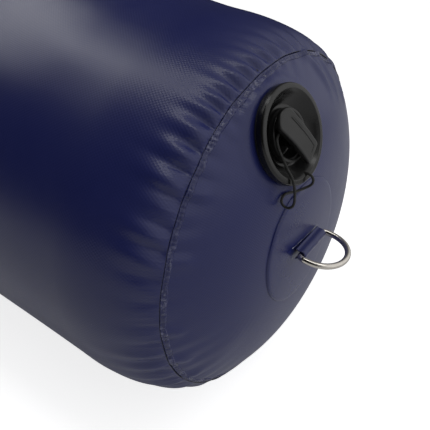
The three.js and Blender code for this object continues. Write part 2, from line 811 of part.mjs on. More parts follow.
// Cap: a cup with a threaded skirt, a neck in its middle and a bar handle on the neck.
function capGeometry() {
  const seat = seatLevel + sealThickness + 2 * clearance;
  let cap = lathe([
    [0, capFloorTop - capFloor],
    [capSkirt - 2.9, capFloorTop - capFloor],
    [capSkirt - 2.9, capFoot],
    [capSkirt, capFoot],
    [capSkirt, seat],
    [capRim, seat],
    [capRim, capTop - 0.6],
    [capRim - 0.6, capTop],
    [cupTop, capTop],
    [cupTop - 1.4, capTop - 1.4],
    [cupFoot, capFloorTop],
    [capPost, capFloorTop],
    [capPost, neckShoulder],
    [capNeck, neckShoulder],
    [capNeck, gripUnder + 1],
    [0, gripUnder + 1],
  ], 36);
  const bar = new THREE.Shape();
  const bevel = 0.7;
  const h = gripHalf - bevel;
  const right = grip / 2 + gripShift - bevel;
  const left = -grip / 2 + gripShift + bevel;
  bar.moveTo(right, -h + 1);
  bar.lineTo(right, h - 1);
  bar.lineTo(right - 1, h);
  bar.quadraticCurveTo(0, h - 2 * gripWaist, left + h, h);
  bar.absarc(left + h * 0.7, 0, h, Math.PI / 2, (3 * Math.PI) / 2, false);
  bar.quadraticCurveTo(0, -h + 2 * gripWaist, right - 1, -h);
  const g = new THREE.ExtrudeGeometry(bar, {
    depth: gripTop - gripUnder - 2 * bevel,
    bevelEnabled: true,
    bevelThickness: bevel,
    bevelSize: bevel,
    bevelSegments: 1,
    curveSegments: 6,
  });
  g.translate(0, 0, gripUnder + bevel);
  g.rotateZ((gripAngle * Math.PI) / 180);
  cap = cap.add(solid(g));
  return geometryOf(cap);
}

const capSeal = lathe(closedProfile([
  [throatRadius + 0.4, seatLevel + clearance],
  [capRim - 0.2, seatLevel + clearance],
  [capRim - 0.2, seatLevel + clearance + sealThickness],
  [throatRadius + 0.4, seatLevel + clearance + sealThickness],
]), 32);

// Loose ring on the cap's neck with an ear that holds the cord.
function swivelGeometry() {
  const inner = capNeck + clearance;
  const low = neckShoulder + clearance;
  let ring = lathe(closedProfile([
    [inner, low],
    [inner + swivelWidth, low],
    [inner + swivelWidth, low + swivelHeight],
    [inner, low + swivelHeight],
  ]), 24);
  const ear = new THREE.BoxGeometry(swivelEar + 1.2, 3.4, swivelHeight);
  ear.translate(inner + swivelWidth - 1.2 + (swivelEar + 1.2) / 2, 0, low + swivelHeight / 2);
  ear.rotateZ((swivelAngle * Math.PI) / 180);
  ring = ring.add(solid(ear));
  return geometryOf(ring);
}

// Assembly. The middle of the whole length is X = 0.
const ringReach = ringDepth + ringWire / 2;
const frontBar = domeX(frontPatchY, frontPatchZ) + barOut;
const frontReach = frontBar + ringReach * Math.cos((frontRingDrop * Math.PI) / 180);
const rearReach = domeX(rearPatchY, rearPatchZ) + barOut + ringWire / 2 + clearance + strapThickness;
const frontSeam = tubeLength / 2 - (frontReach - rearReach) / 2;
const rearSeam = frontSeam - tubeLength;

const fender = new THREE.Group();
fender.add(tube, tubeTape);
tube.position.x = frontSeam - tubeLength / 2;
tubeTape.position.x = tube.position.x;

const front = new THREE.Group();
front.position.x = frontSeam;
fender.add(front);
front.add(named("front_disc", frontDiscGeometry(), navy()));
front.add(named("front_seam_tape", seamTapeGeometry(frontColumns, true), navyTape()));
front.add(named("front_ring_patch", patchGeometry(frontPatchY, frontPatchZ, true), navyTape()));

const rear = new THREE.Group();
rear.position.x = rearSeam;
rear.rotation.z = Math.PI;
fender.add(rear);
rear.add(named("rear_disc", rearDiscGeometry(), navy()));
rear.add(named("rear_seam_tape", seamTapeGeometry(rearColumns, false), navyTape()));
rear.add(named("rear_ring_patch", patchGeometry(rearPatchY, rearPatchZ, false), navyTape()));

function ringSet(prefix, parent, cy, cz, drop) {
  const x = domeX(cy, cz);
  const strap = named(`${prefix}_ring_strap`, strapGeometry(), navyTape());
  strap.position.set(x + strapFoot, cy, seamHeight + cz);
  const ring = named(`${prefix}_d_ring`, ringGeometry(), steel());
  ring.position.set(x + barOut, cy, seamHeight + cz);
  ring.rotation.y = (drop * Math.PI) / 180;
  parent.add(strap, ring);
}
ringSet("front", front, frontPatchY, frontPatchZ, frontRingDrop);
ringSet("rear", rear, rearPatchY, rearPatchZ, rearRingDrop);

const valve = new THREE.Group();
valve.position.copy(valveSeat.p);
valve.quaternion.setFromRotationMatrix(new THREE.Matrix4().makeBasis(valveSide, valveUp, valveOut));
front.add(valve);
valve.add(named("valve_body", valveBodyGeometry(), black()));
valve.add(named("valve_gasket", geometryOf(gasket), rubber()));
valve.add(named("valve_back_nut", geometryOf(nut), black()));
valve.add(named("valve_core", coreGeometry(), black()));
valve.add(named("valve_poppet", geometryOf(poppet), rubber()));
valve.add(named("valve_spring", along(new Coil(), springWire / 2, 6, 49), steel()));
valve.add(named("valve_cap", capGeometry(), black()));
valve.add(named("cap_seal", geometryOf(capSeal), rubber()));
valve.add(named("tether_swivel", swivelGeometry(), black()));
const cordPoints = cordPathPoints.map((p) => new THREE.Vector3(...p));
const cordCurve = new THREE.CatmullRomCurve3(cordPoints, false, "centripetal");
valve.add(named("tether_cord", along(cordCurve, cordDiameter / 2, 8, 60), rubber()));

export default fender;
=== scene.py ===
"""Looks for an inflatable fender: coated cloth, a moulded air valve and steel D-rings.

Lengths in the shape functions are millimetres, as in the part's own drawing; objects are metres.
"""

import json
import math

import bmesh
import bpy
import numpy as np
from mathutils import Matrix, Vector


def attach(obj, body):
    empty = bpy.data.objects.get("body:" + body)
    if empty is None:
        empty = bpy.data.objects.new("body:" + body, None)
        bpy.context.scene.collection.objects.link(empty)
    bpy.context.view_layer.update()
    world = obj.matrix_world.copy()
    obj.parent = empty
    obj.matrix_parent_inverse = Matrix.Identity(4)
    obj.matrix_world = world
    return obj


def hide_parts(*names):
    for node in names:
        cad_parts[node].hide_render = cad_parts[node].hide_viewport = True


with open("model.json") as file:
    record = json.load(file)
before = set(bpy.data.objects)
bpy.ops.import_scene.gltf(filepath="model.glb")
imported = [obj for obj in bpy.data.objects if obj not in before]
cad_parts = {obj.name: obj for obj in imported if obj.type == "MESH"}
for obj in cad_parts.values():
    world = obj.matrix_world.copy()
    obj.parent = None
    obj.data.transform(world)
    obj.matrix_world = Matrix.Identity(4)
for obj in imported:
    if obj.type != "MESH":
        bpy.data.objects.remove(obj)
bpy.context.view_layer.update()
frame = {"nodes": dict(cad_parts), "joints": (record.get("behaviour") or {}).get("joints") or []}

# Sizes that the part's drawing also uses
SEAM_R = 165.0
LENGTH = 1000.0
SEAM_Z = 162.0
SAG = 0.919
SKIN = 1.0
EDGE = 0.8
GAP = 0.3
DOME = 25.7
DOME_SHARP = 3.84
DOME_BASE = 13.7
CLOTH = -(SKIN + GAP)
TAPE_W = 5.4
PATCH_R = 56.0
PATCH_T = 1.2
FRONT_PATCH = (-25.0, 7.99)
REAR_PATCH = (0.0, 8.0)
WIRE = 5.0
RING_HALF = 24.0
RING_DEPTH = 30.5
RING_CORNER = 3.4
STRAP_T = 1.3
STRAP_FOOT = 4.9
BAR_OUT = 5.2
FRONT_DROP = 6.0
REAR_DROP = 90.0
TAU = 2 * math.pi

# The tube swells over a shoulder beside the seam, and then gently along its barrel
SHOULDER = 72.0
SHOULDER_RISE = 26.0
SHOULDER_SOFT = 0.784
BARREL_ONSET = 45.0
BARREL_REACH = 148.0
BARREL_RISE = 13.4
BARREL_LIFT = 31.0


def smooth(a, b, x):
    t = np.clip((x - a) / (b - a), 0, 1)
    return t * t * (3 - 2 * t)


def dome_x(y, z):
    q = np.minimum(1, np.hypot(y, z / SAG) / SEAM_R)
    return DOME_BASE * (1 - q * q) + DOME * (1 - q**DOME_SHARP)


PATCH_TOP = PATCH_T + 2 * GAP - SKIN - GAP
STRAP_BASE = PATCH_TOP + GAP
BAR = STRAP_BASE + BAR_OUT
FRONT_REACH = float(dome_x(*FRONT_PATCH)) + BAR + (RING_DEPTH + WIRE
                                                   / 2) * math.cos(math.radians(FRONT_DROP))
REAR_REACH = float(dome_x(*REAR_PATCH)) + BAR + WIRE / 2 + GAP + STRAP_T
FRONT_X = LENGTH / 2 - (FRONT_REACH - REAR_REACH) / 2
REAR_X = FRONT_X - LENGTH

# Camera
cam_data = bpy.data.cameras.new("camera")
cam_data.lens = 34.803
cam_data.sensor_width = 36
cam_data.clip_start = 0.01
cam_data.clip_end = 60
camera = bpy.data.objects.new("camera", cam_data)
bpy.context.scene.collection.objects.link(camera)
forward = Vector((-0.49385, 0.69649, -0.52059)).normalized()
side = Vector((0.81574, 0.57841, 0)).normalized()
up = side.cross(forward)
camera.matrix_world = Matrix((
    (side.x, up.x, -forward.x, (FRONT_X + 144.21) / 1000),
    (side.y, up.y, -forward.y, -0.30492),
    (side.z, up.z, -forward.z, (SEAM_Z + 210.21) / 1000),
    (0, 0, 0, 1),
))
bpy.context.scene.camera = camera

# The valve's own axes, from the joint that its cap turns on
cap_joint = next(j for j in frame["joints"] if j["name"] == "cap_turn")
VALVE_N = np.array(Vector(cap_joint["axis"]).normalized())
VALVE_U = np.array(Vector((0, 0, 1)).cross(Vector(VALVE_N)).normalized())
VALVE_V = np.cross(VALVE_N, VALVE_U)
VALVE_O = np.array(cap_joint["pos_m"]) * 1000


def valve_to_row(points):
    p = np.asarray(points, float)
    return VALVE_O + p[..., 0:1] * VALVE_U + p[..., 1:2] * VALVE_V + p[..., 2:3] * VALVE_N


# Meshes
def add_object(name, mesh):
    obj = bpy.data.objects.new(name, mesh)
    bpy.context.scene.collection.objects.link(obj)
    return obj


def make_mesh(name, points, faces, uv=None):
    """A mesh object from points in millimetres; uv is one pair for each corner, in face order."""
    mesh = bpy.data.meshes.new(name)
    mesh.from_pydata((np.asarray(points) / 1000).tolist(), [], faces)
    if uv is not None:
        layer = mesh.uv_layers.new(name="weave")
        layer.data.foreach_set("uv", np.asarray(uv, np.float32).ravel())
    mesh.polygons.foreach_set("use_smooth", [True] * len(mesh.polygons))
    mesh.update()
    return add_object(name, mesh)


def grid(name, P, uv=None, close_rows=False, keep=None, caps=False):
    """A surface through rows of points, each row a closed ring. uv has one more column than P."""
    rows, cols = P.shape[:2]
    r = np.arange(rows if close_rows else rows - 1)
    c = np.arange(cols)
    R, C = np.meshgrid(r, c, indexing="ij")
    R1 = (R + 1) % rows
    C1 = (C + 1) % cols
    faces = np.stack([R * cols + C, R * cols + C1, R1 * cols + C1, R1 * cols + C], -1).reshape(-1,
                                                                                               4)
    corner = None
    if uv is not None:
        Rn = R + 1
        Cn = C + 1
        corner = np.stack([uv[R, C], uv[R, Cn], uv[Rn, Cn], uv[Rn, C]], -2).reshape(-1, 4, 2)
    if keep is not None:
        mask = keep[R, C].reshape(-1)
        faces = faces[mask]
        corner = corner[mask] if corner is not None else None
    faces = faces.tolist()
    if caps:
        faces.append(list(range(cols))[::-1])
        faces.append([(rows - 1) * cols + i for i in range(cols)])
        if corner is not None:
            corner = np.concatenate([corner.reshape(-1, 2), np.zeros((2 * cols, 2))])
    return make_mesh(name, P.reshape(-1, 3), faces,
                     None if corner is None else corner.reshape(-1, 2))


def turn_out(obj):
    """Makes the faces of a closed piece point outwards."""
    mesh = obj.data
    co = np.zeros(len(mesh.vertices) * 3)
    mesh.vertices.foreach_get("co", co)
    co = co.reshape(-1, 3)
    mesh.calc_loop_triangles()
    tri = np.zeros(len(mesh.loop_triangles) * 3, int)
    mesh.loop_triangles.foreach_get("vertices", tri)
    a, b, c = (co[tri.reshape(-1, 3)[:, k]] for k in range(3))
    if np.einsum("ij,ij->i", a, np.cross(b, c)).sum() < 0:
        mesh.flip_normals()
    return obj


# The cord comes first, right after the camera
CORD = [
    (-10.4, 4.3, 1.5), (-12.0, 4.6, 2.6), (-13.9, 4.7, 3.7), (-16.0, 4.1, 4.4), (-17.7, 2.6, 4.5),
    (-18.5, 0.5, 4.5), (-18.5, -3.2, 4.4), (-17.4, -8.0, 4.35), (-15.6, -13.0, 4.35),
    (-14.2, -17.8, 4.45),
    (-13.7, -21.4, 5.0), (-13.9, -24.6, 6.6), (-14.6, -27.9, 8.3), (-15.2, -31.2, 9.1),
    (-15.7, -34.8, 9.3),
    (-16.5, -38.6, 9.3), (-17.2, -41.3, 9.0), (-17.8, -44.2, 8.5), (-18.4, -46.8, 7.0),
    (-19.0, -48.1, 4.1),
    (-19.4, -47.4, 1.2), (-19.6, -45.3, -0.8), (-19.2, -42.8, -1.35), (-17.5, -40.5, -0.95),
    (-15.0, -39.4, -0.75),
    (-12.0, -39.7, -0.7), (-8.4, -40.4, -0.5), (-4.8, -41.1, 0.0), (-1.6, -41.5, 1.1),
    (1.3, -41.4, 2.7),
    (3.7, -40.9, 4.8), (5.1, -40.1, 7.0), (5.7, -38.9, 9.1), (5.9, -37.2, 10.5), (5.9, -35.1, 11.0),
    (5.85, -32.9, 10.4), (5.75, -31.1, 8.7), (5.7, -30.3, 6.2), (5.7, -30.3, 4.2),
    (5.7, -30.3, 1.9),
]


def catmull(points, per=10):
    """Centripetal Catmull-Rom through the points."""
    p = np.array(points, float)
    p = np.vstack([2 * p[0] - p[1], p, 2 * p[-1] - p[-2]])
    out = []
    for i in range(1, len(p) - 2):
        a, b, c, d = p[i - 1:i + 3]
        t0 = 0.0
        t1 = t0 + np.linalg.norm(b - a) ** 0.5
        t2 = t1 + np.linalg.norm(c - b) ** 0.5
        t3 = t2 + np.linalg.norm(d - c) ** 0.5
        for t in np.linspace(t1, t2, per, endpoint=False):
            a1 = (t1 - t) / (t1 - t0) * a + (t - t0) / (t1 - t0) * b
            a2 = (t2 - t) / (t2 - t1) * b + (t - t1) / (t2 - t1) * c
            a3 = (t3 - t) / (t3 - t2) * c + (t - t2) / (t3 - t2) * d
            b1 = (t2 - t) / (t2 - t0) * a1 + (t - t0) / (t2 - t0) * a2
            b2 = (t3 - t) / (t3 - t1) * a2 + (t - t1) / (t3 - t1) * a3
            out.append((t2 - t) / (t2 - t1) * b1 + (t - t1) / (t2 - t1) * b2)
    out.append(p[-2])
    return np.array(out)


def sweep(name, path, radius, sides, closed=False):
    """A round tube along a path, with a frame that turns no more than it must."""
    path = np.asarray(path, float)
    n = len(path)
    if closed:
        tangent = np.roll(path, -1, 0) - np.roll(path, 1, 0)
    else:
        tangent = np.gradient(path, axis=0)
    tangent /= np.linalg.norm(tangent, axis=1)[:, None]
    normal = np.zeros_like(path)
    start = np.array([0.3, 0.2, 1.0])
    start -= start @ tangent[0] * tangent[0]
    normal[0] = start / np.linalg.norm(start)
    for i in range(1, n):
        v = normal[i - 1] - normal[i - 1] @ tangent[i] * tangent[i]
        normal[i] = v / np.linalg.norm(v)
    if closed:
        end = normal[-1] - normal[-1] @ tangent[0] * tangent[0]
        end /= np.linalg.norm(end)
        twist = math.atan2(np.cross(normal[0], end) @ tangent[0], normal[0] @ end)
        for i in range(n):
            a = -twist * i / n
            b = np.cross(tangent[i], normal[i])
            normal[i] = normal[i] * math.cos(a) + b * math.sin(a)
    binormal = np.cross(tangent, normal)
    angle = np.arange(sides) / sides * TAU
    P = path[:, None] + radius * (
        np.cos(angle)[None, :, None] * normal[:, None] + np.sin(angle)[None, :, None]
        * binormal[:, None]
    )
    run = np.concatenate([[0], np.cumsum(np.linalg.norm(np.diff(path, axis=0), axis=1))])
    if closed:
        run = np.append(run, run[-1] + np.linalg.norm(path[0] - path[-1]))
    uv = np.zeros((n + 1, sides + 1, 2))
    uv[..., 0] = np.arange(sides + 1)[None, :] / sides
    uv[: len(run), :, 1] = run[: n + 1, None] / 1000
    obj = grid(name, P, uv, close_rows=closed, caps=not closed)
    return turn_out(obj), float(run[-1])


cord_path = valve_to_row(catmull(CORD, 9))
cord_obj, cord_length = sweep("tether_cord_braid", cord_path, 1.0, 12)
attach(cord_obj, "cap_swivel")
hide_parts("tether_cord")


# Shader maths
class Tree:
    """A material's node tree with shader values that can be added and multiplied in Python."""

    def __init__(self, name, material=None):
        self.mat = material or bpy.data.materials.new(name)
        self.mat.use_nodes = True
        self.nodes = self.mat.node_tree.nodes
        self.links = self.mat.node_tree.links
        self.bsdf = self.nodes["Principled BSDF"]

    def node(self, kind, **values):
        n = self.nodes.new(kind)
        for key, value in values.items():
            setattr(n, key, value)
        return n

    def put(self, value, socket):
        if isinstance(value, Value):
            self.links.new(value.socket, socket)
        else:
            socket.default_value = value

    def math(self, op, a, b=0.0, c=0.0):
        n = self.node("ShaderNodeMath", operation=op)
        for i, v in enumerate((a, b, c)):
            self.put(v, n.inputs[i])
        return Value(self, n.outputs[0])

    def place(self):
        return Value(self, self.node("ShaderNodeTexCoord").outputs["Object"])

    def uv(self, name="weave"):
        n = self.node("ShaderNodeUVMap", uv_map=name)
        s = self.node("ShaderNodeSeparateXYZ")
        self.links.new(n.outputs[0], s.inputs[0])
        return Value(self, s.outputs[0]), Value(self, s.outputs[1])

    def attribute(self, name):
        n = self.node("ShaderNodeAttribute", attribute_name=name)
        return Value(self, n.outputs["Fac"])

    def noise(self, at, scale, detail=3.0, rough=0.5):
        n = self.node("ShaderNodeTexNoise")
        self.put(at, n.inputs["Vector"])
        n.inputs["Scale"].default_value = scale
        n.inputs["Detail"].default_value = detail
        n.inputs["Roughness"].default_value = rough
        return Value(self, n.outputs["Fac"])

    def cells(self, at, scale):
        n = self.node("ShaderNodeTexVoronoi", feature="F1")
        self.put(at, n.inputs["Vector"])
        n.inputs["Scale"].default_value = scale
        return Value(self, n.outputs["Distance"])

    def ramp(self, value, low, high, a=0.0, b=1.0):
        n = self.node("ShaderNodeMapRange", interpolation_type="SMOOTHSTEP")
        for i, v in enumerate((value, low, high, a, b)):
            self.put(v, n.inputs[i])
        return Value(self, n.outputs[0])

    def mix(self, factor, a, b):
        n = self.node("ShaderNodeMix", data_type="RGBA")
        self.put(factor, n.inputs["Factor"])
        for value, key in ((a, "A"), (b, "B")):
            socket = [s for s in n.inputs if s.name == key and s.type == "RGBA"][0]
            self.put(value if isinstance(value, Value) else (*value, 1.0), socket)
        return Value(self, [s for s in n.outputs if s.type == "RGBA"][0])

    def bump(self, height, distance, strength=1.0, normal=None):
        n = self.node("ShaderNodeBump")
        self.put(height, n.inputs["Height"])
        n.inputs["Distance"].default_value = distance
        n.inputs["Strength"].default_value = strength
        if normal is not None:
            self.put(normal, n.inputs["Normal"])
        return Value(self, n.outputs[0])

    def set(self, **values):
        for key, value in values.items():
            socket = self.bsdf.inputs[key.replace("_", " ")]
            if isinstance(value, tuple) and len(value) == 3 and socket.type == "RGBA":
                value = (*value, 1.0)
            self.put(value, socket)
        return self.mat


class Value:
    """One output of a node, with the sums and products that the materials use."""

    def __init__(self, tree, socket):
        self.tree = tree
        self.socket = socket

    def __add__(self, other):
        return self.tree.math("ADD", self, other)

    __radd__ = __add__

    def __sub__(self, other):
        return self.tree.math("SUBTRACT", self, other)

    def __rsub__(self, other):
        return self.tree.math("SUBTRACT", other, self)

    def __mul__(self, other):
        return self.tree.math("MULTIPLY", self, other)

    __rmul__ = __mul__

    def sin(self):
        return self.tree.math("SINE", self)

    def abs(self):
        return self.tree.math("ABSOLUTE", self)


def puckers(t, u, v, seams):
    """Fine puckers across each seam, as a height between 0 and 1."""
    total = None
    for place, reach in seams:
        stretch = t.node("ShaderNodeCombineXYZ")
        t.put(u * 150.0, stretch.inputs[0])
        t.put(v * 34.0, stretch.inputs[1])
        near = t.ramp((v - place).abs(), 0.0, reach, 1.0, 0.0)
        fine = t.noise(Value(t, stretch.outputs[0]), 1.0, 2.0, 0.5) * near
        total = fine if total is None else total + fine
    return total


def cloth(name, main, light, rough=0.31, ribs=0.35, pitch=1.9, seams=()):
    """Coated cloth: a satin skin with the threads of the cloth faintly showing through on both
    diagonals."""
    t = Tree(name)
    at = t.place()
    u, v = t.uv()
    k = TAU / (pitch / 1000)
    drift = t.noise(at, 9.0, 2.0) * 3.0
    a = ((u + v) * (k * 0.7071) + drift).sin()
    b = ((u - v) * (k * 0.7071) + drift).sin()
    weave = (a + b) * 0.25 + 0.5
    grain = t.noise(at, 900.0, 2.0, 0.6)
    cloud = t.noise(at, 7.0, 4.0, 0.6)
    fine = t.noise(at, 60.0, 5.0, 0.6)
    dust = t.cells(at, 32.0)
    speck = t.ramp(dust, 0.0, 0.022, 1.0, 0.0)
    color = t.mix(t.ramp(cloud, 0.3, 0.75), main, light)
    color = t.mix(t.ramp(weave, 0.0, 1.0, 0.10, 0.0), color, (0.006, 0.007, 0.022))
    color = t.mix(speck * 0.5, color, (0.32, 0.32, 0.36))
    roughness = t.ramp(cloud, 0.2, 0.8, rough - 0.03, rough + 0.05) + (fine - 0.5) * 0.06
    height = weave * ribs + grain * 0.12 + fine * 0.30
    normal = t.bump(height, 0.00022, 0.75)
    if seams:
        normal = t.bump(puckers(t, u, v, seams), 0.0016, 0.7, normal)
    return t.set(Base_Color=color, Roughness=roughness, Normal=normal, Specular_IOR_Level=0.5,
                 Sheen_Weight=0.0)


def plastic(name, main, light, rough=0.34, grain=0.10):
    t = Tree(name)
    at = t.place()
    cloud = t.noise(at, 40.0, 4.0, 0.6)
    fine = t.noise(at, 900.0, 3.0, 0.6)
    scuff = t.ramp(t.noise(at, 160.0, 6.0, 0.7), 0.58, 0.72)
    color = t.mix(cloud, main, light)
    roughness = t.ramp(cloud, 0.2, 0.8, rough - 0.02,
                       rough + 0.03) + scuff * 0.04 + (fine - 0.5) * 0.03
    normal = t.bump(fine, 0.00004, grain * 4)
    return t.set(Base_Color=color, Roughness=roughness, Normal=normal, Specular_IOR_Level=0.5)


def rubber(name, main, rough=0.62):
    t = Tree(name)
    at = t.place()
    cloud = t.noise(at, 60.0, 4.0, 0.6)
    fine = t.noise(at, 1200.0, 3.0, 0.6)
    color = t.mix(cloud, main, tuple(c * 1.8 for c in main))
    return t.set(Base_Color=color, Roughness=t.ramp(cloud, 0.2, 0.8, rough - 0.06, rough + 0.06),
                 Normal=t.bump(fine, 0.00006, 0.5))


def steel(name, main, rough=0.14):
    """Polished wire with faint drawing marks along it and a few soft dull places."""
    t = Tree(name)
    at = t.place()
    u, v = t.uv()
    cloud = t.noise(at, 90.0, 4.0, 0.6)
    marks = t.noise(at, 700.0, 4.0, 0.7)
    color = t.mix(t.ramp(cloud, 0.35, 0.75), main, tuple(c * 0.86 for c in main))
    roughness = t.ramp(cloud, 0.3, 0.75, rough - 0.05, rough + 0.10) + (marks - 0.5) * 0.08
    normal = t.bump(marks + (u * TAU * 14).sin() * 0.05, 0.00004, 0.4)
    return t.set(Base_Color=color, Roughness=roughness, Metallic=1.0, Normal=normal)


def wire(name, main):
    t = Tree(name)
    at = t.place()
    cloud = t.noise(at, 300.0, 3.0, 0.6)
    color = t.mix(cloud, main, tuple(c * 0.8 for c in main))
    return t.set(Base_Color=color, Roughness=t.ramp(cloud, 0.2, 0.8, 0.25, 0.4), Metallic=1.0)


def braid(name, main):
    t = Tree(name)
    u, v = t.uv()
    a = ((u * 5.0 + v * 700.0) * TAU).sin()
    b = ((u * 5.0 - v * 700.0) * TAU).sin()
    weave = t.math("MAXIMUM", a, b) * 0.5 + 0.5
    color = t.mix(t.ramp(weave, 0.2, 1.0), tuple(c * 0.35 for c in main), main)
    return t.set(Base_Color=color, Roughness=t.ramp(weave, 0.0, 1.0, 0.7, 0.5),
                 Normal=t.bump(weave, 0.0003, 0.8))


NAVY = (0.0150, 0.0200, 0.1120)
NAVY_LIGHT = (0.0175, 0.0230, 0.1220)
navy = cloth("coated_cloth", NAVY, NAVY_LIGHT)
navy_tape = cloth("coated_cloth_tape", (0.0155, 0.0205, 0.1130), (0.0180, 0.0235, 0.1230),
                  rough=0.28, ribs=0.25)
black = plastic("moulded_black", (0.0035, 0.0035, 0.0036), (0.0060, 0.0060, 0.0062), rough=0.25)
cap_black = plastic("moulded_black_cap", (0.0045, 0.0045, 0.0046), (0.0080, 0.0080, 0.0082),
                    rough=0.30)
black_rubber = rubber("black_rubber", (0.0080, 0.0080, 0.0082))
stainless = steel("polished_steel", (0.76, 0.72, 0.66), rough=0.09)
spring_wire = wire("spring_wire", (0.55, 0.55, 0.54))
cord_mat = braid("braided_cord", (0.020, 0.020, 0.019))


def weld_bead():
    """Clear glue squeezed out at the ends of the strap."""
    t = Tree("weld_bead")
    at = t.place()
    cloud = t.noise(at, 500.0, 3.0, 0.6)
    color = t.mix(cloud, (0.16, 0.17, 0.24), (0.34, 0.35, 0.42))
    return t.set(Base_Color=color, Roughness=t.ramp(cloud, 0.2, 0.8, 0.18, 0.35),
                 Normal=t.bump(cloud, 0.0002, 0.5))


bead = weld_bead()


def seam_weld():
    """The pressed weld: crinkled cloth, with pale patches painted into its colour as highlights on the
    crinkles.
    """
    t = Tree("pressed_seam_weld")
    at = t.place()
    crinkle = t.noise(at, 380.0, 3.0, 0.6)
    cloud = t.noise(at, 60.0, 3.0, 0.6)
    # The pale patches are painted highlights on the crinkled weld, not a colour of the coating.
    painted_glints = t.ramp(crinkle, 0.44, 0.66)
    color = t.mix(painted_glints * t.ramp(cloud, 0.45, 0.68, 0.05, 1.0), (0.014, 0.018, 0.095),
                  (0.150, 0.155, 0.260))
    return t.set(Base_Color=color, Roughness=t.ramp(cloud, 0.2, 0.8, 0.16, 0.30),
                 Normal=t.bump(crinkle, 0.0005, 0.8), Specular_IOR_Level=0.5)


weld = seam_weld()


def dress(obj, material, body, slot, *nodes):
    obj.data.materials.clear()
    obj.data.materials.append(material)
    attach(obj, body)
    if nodes:
        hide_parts(*nodes)
    return obj


cord_obj.data.materials.append(cord_mat)


# Folds. Each crest is the angle round the seam in degrees, then height, half width and reach in
# millimetres
# and how far it leans. The part of the seam that faces the light is drawn fold by fold.
SEEN_CRESTS = [
    (62, 0.9, 5.0, 30, 0.10), (69, 0.8, 5.0, 26, 0.05), (77, 0.9, 5.0, 28, 0.10),
    (84, 1.0, 4.6, 26, 0.15),
    (89.5, 1.1, 4.6, 26, 0.30), (94.8, 1.5, 4.8, 30, 0.45), (99.6, 1.5, 4.2, 26, 0.40),
    (104.0, 1.9, 4.8, 30, 0.40),
    (108.8, 2.1, 4.8, 28, 0.22), (112.6, 2.2, 4.4, 26, 0.12), (117.2, 2.0, 4.6, 28, 0.05),
    (121.0, 2.1, 4.4, 24, 0.0),
    (125.0, 2.3, 5.0, 28, -0.04), (130.8, 2.7, 6.2, 30, -0.10), (136.6, 2.4, 5.8, 32, -0.15),
    (143.2, 2.4, 6.2, 36, -0.18), (149.0, 1.2, 5.2, 28, -0.20), (155.6, 1.7, 6.0, 34, -0.24),
    (161.8, 1.4, 5.8, 34, -0.24), (168.5, 0.8, 5.8, 30, -0.15), (175.0, 0.7, 6.0, 30, -0.10),
    (182.0, 0.8, 6.0, 32, 0.0), (189.5, 1.2, 5.0, 46, 0.05), (195.5, 1.3, 4.6, 50, 0.05),
    (202.0, 1.2, 4.8, 50, 0.08),
    (209.0, 1.3, 5.0, 46, 0.10), (217.0, 1.2, 5.4, 44, 0.10), (226.0, 1.1, 5.6, 40, 0.08),
    (236.0, 1.0, 6.0, 36, 0.0),
]


def crest_set(seed, seen):
    """The crests round one seam, those given and seeded ones for the rest, with a crease between
    each two."""
    rng = np.random.RandomState(seed)
    crests = list(seen)
    low, high = (seen[0][0], seen[-1][0]) if seen else (90.0, 90.0)
    angle = high + 6.5 if seen else 90.0
    while angle < low + 360 - 4.0:
        near_floor = 246 < angle % 360 < 294
        crests.append((angle, rng.uniform(0.6, 1.7) * (0.25 if near_floor else 1.0),
                       rng.uniform(4.4, 6.4),
                       rng.uniform(24, 40), rng.uniform(-0.2, 0.2)))
        angle += rng.uniform(4.6, 8.2)
    crests.sort()
    creases = []
    for i, crest in enumerate(crests):
        nxt = crests[(i + 1) % len(crests)]
        step = (nxt[0] - crest[0]) % 360
        angle = crest[0] + step * rng.uniform(0.42, 0.58)
        depth = 0.62 * (crest[1] + nxt[1]) / 2
        width = rng.uniform(1.7, 2.6)
        reach = (crest[3] + nxt[3]) / 2 * rng.uniform(0.7, 1.0)
        creases.append((angle, depth, width, reach, (crest[4] + nxt[4]) / 2))
    return crests, creases


def folds(theta, s, field, reach_share=1.0, gain=1.0):
    """Height of the gathers at the distance s from the seam."""
    crests, creases = field
    total = np.zeros(np.broadcast(theta, s).shape)
    for sign, entries in ((1.0, crests), (-1.0, creases)):
        for angle, height, width, reach, lean in entries:
            reach = reach * reach_share
            peak = (0.24 if sign > 0 else 0.17) * reach
            d = (theta - math.radians(angle) + math.pi) % TAU - math.pi
            d = d * SEAM_R - lean * s
            w = width * (0.72 + 0.75 * s / reach)
            rise = (s / peak) * np.exp(1 - s / peak)
            total += sign * height * np.exp(-(d / w) ** 2) * rise
    return gain * total


def wander(theta):
    """The seam line isn't quite true."""
    return 0.35 * np.sin(5 * theta + 0.4) + 0.28 * np.sin(13 * theta + 1.9) + 0.20 * np.sin(29
                                                                                            * theta + 0.8)


front_field = crest_set(11, SEEN_CRESTS)
rear_field = crest_set(23, [])


def tube_base(theta, s):
    """The tube without its folds, at the angle theta and the distance s from the seam."""
    u = np.clip(1 - s / SHOULDER, 0, 1)
    near = SHOULDER_SOFT * u * u + (1 - SHOULDER_SOFT) * u**6
    beyond = s - SHOULDER
    eased = np.maximum(0, beyond + BARREL_ONSET) ** 2 / (4 * BARREL_ONSET)
    past = np.where(beyond >= BARREL_ONSET, beyond, eased)
    grown = 1 - np.exp(-past / BARREL_REACH)
    r = SEAM_R + SHOULDER_RISE * (1 - near) + BARREL_RISE * grown
    sine = np.sin(theta)
    lift = BARREL_LIFT * grown * (1 - 0.5 * smooth(0.7, 1, -sine))
    z = SEAM_Z + SAG * r * sine + lift
    return np.stack([-s + 0 * theta, r * np.cos(theta), z], -1)


def to_floor(P):
    z = P[..., 2]
    P[..., 2] = np.where(z >= 6, z, np.where(z <= -6, 0, (z + 6) ** 2 / 24))
    return P


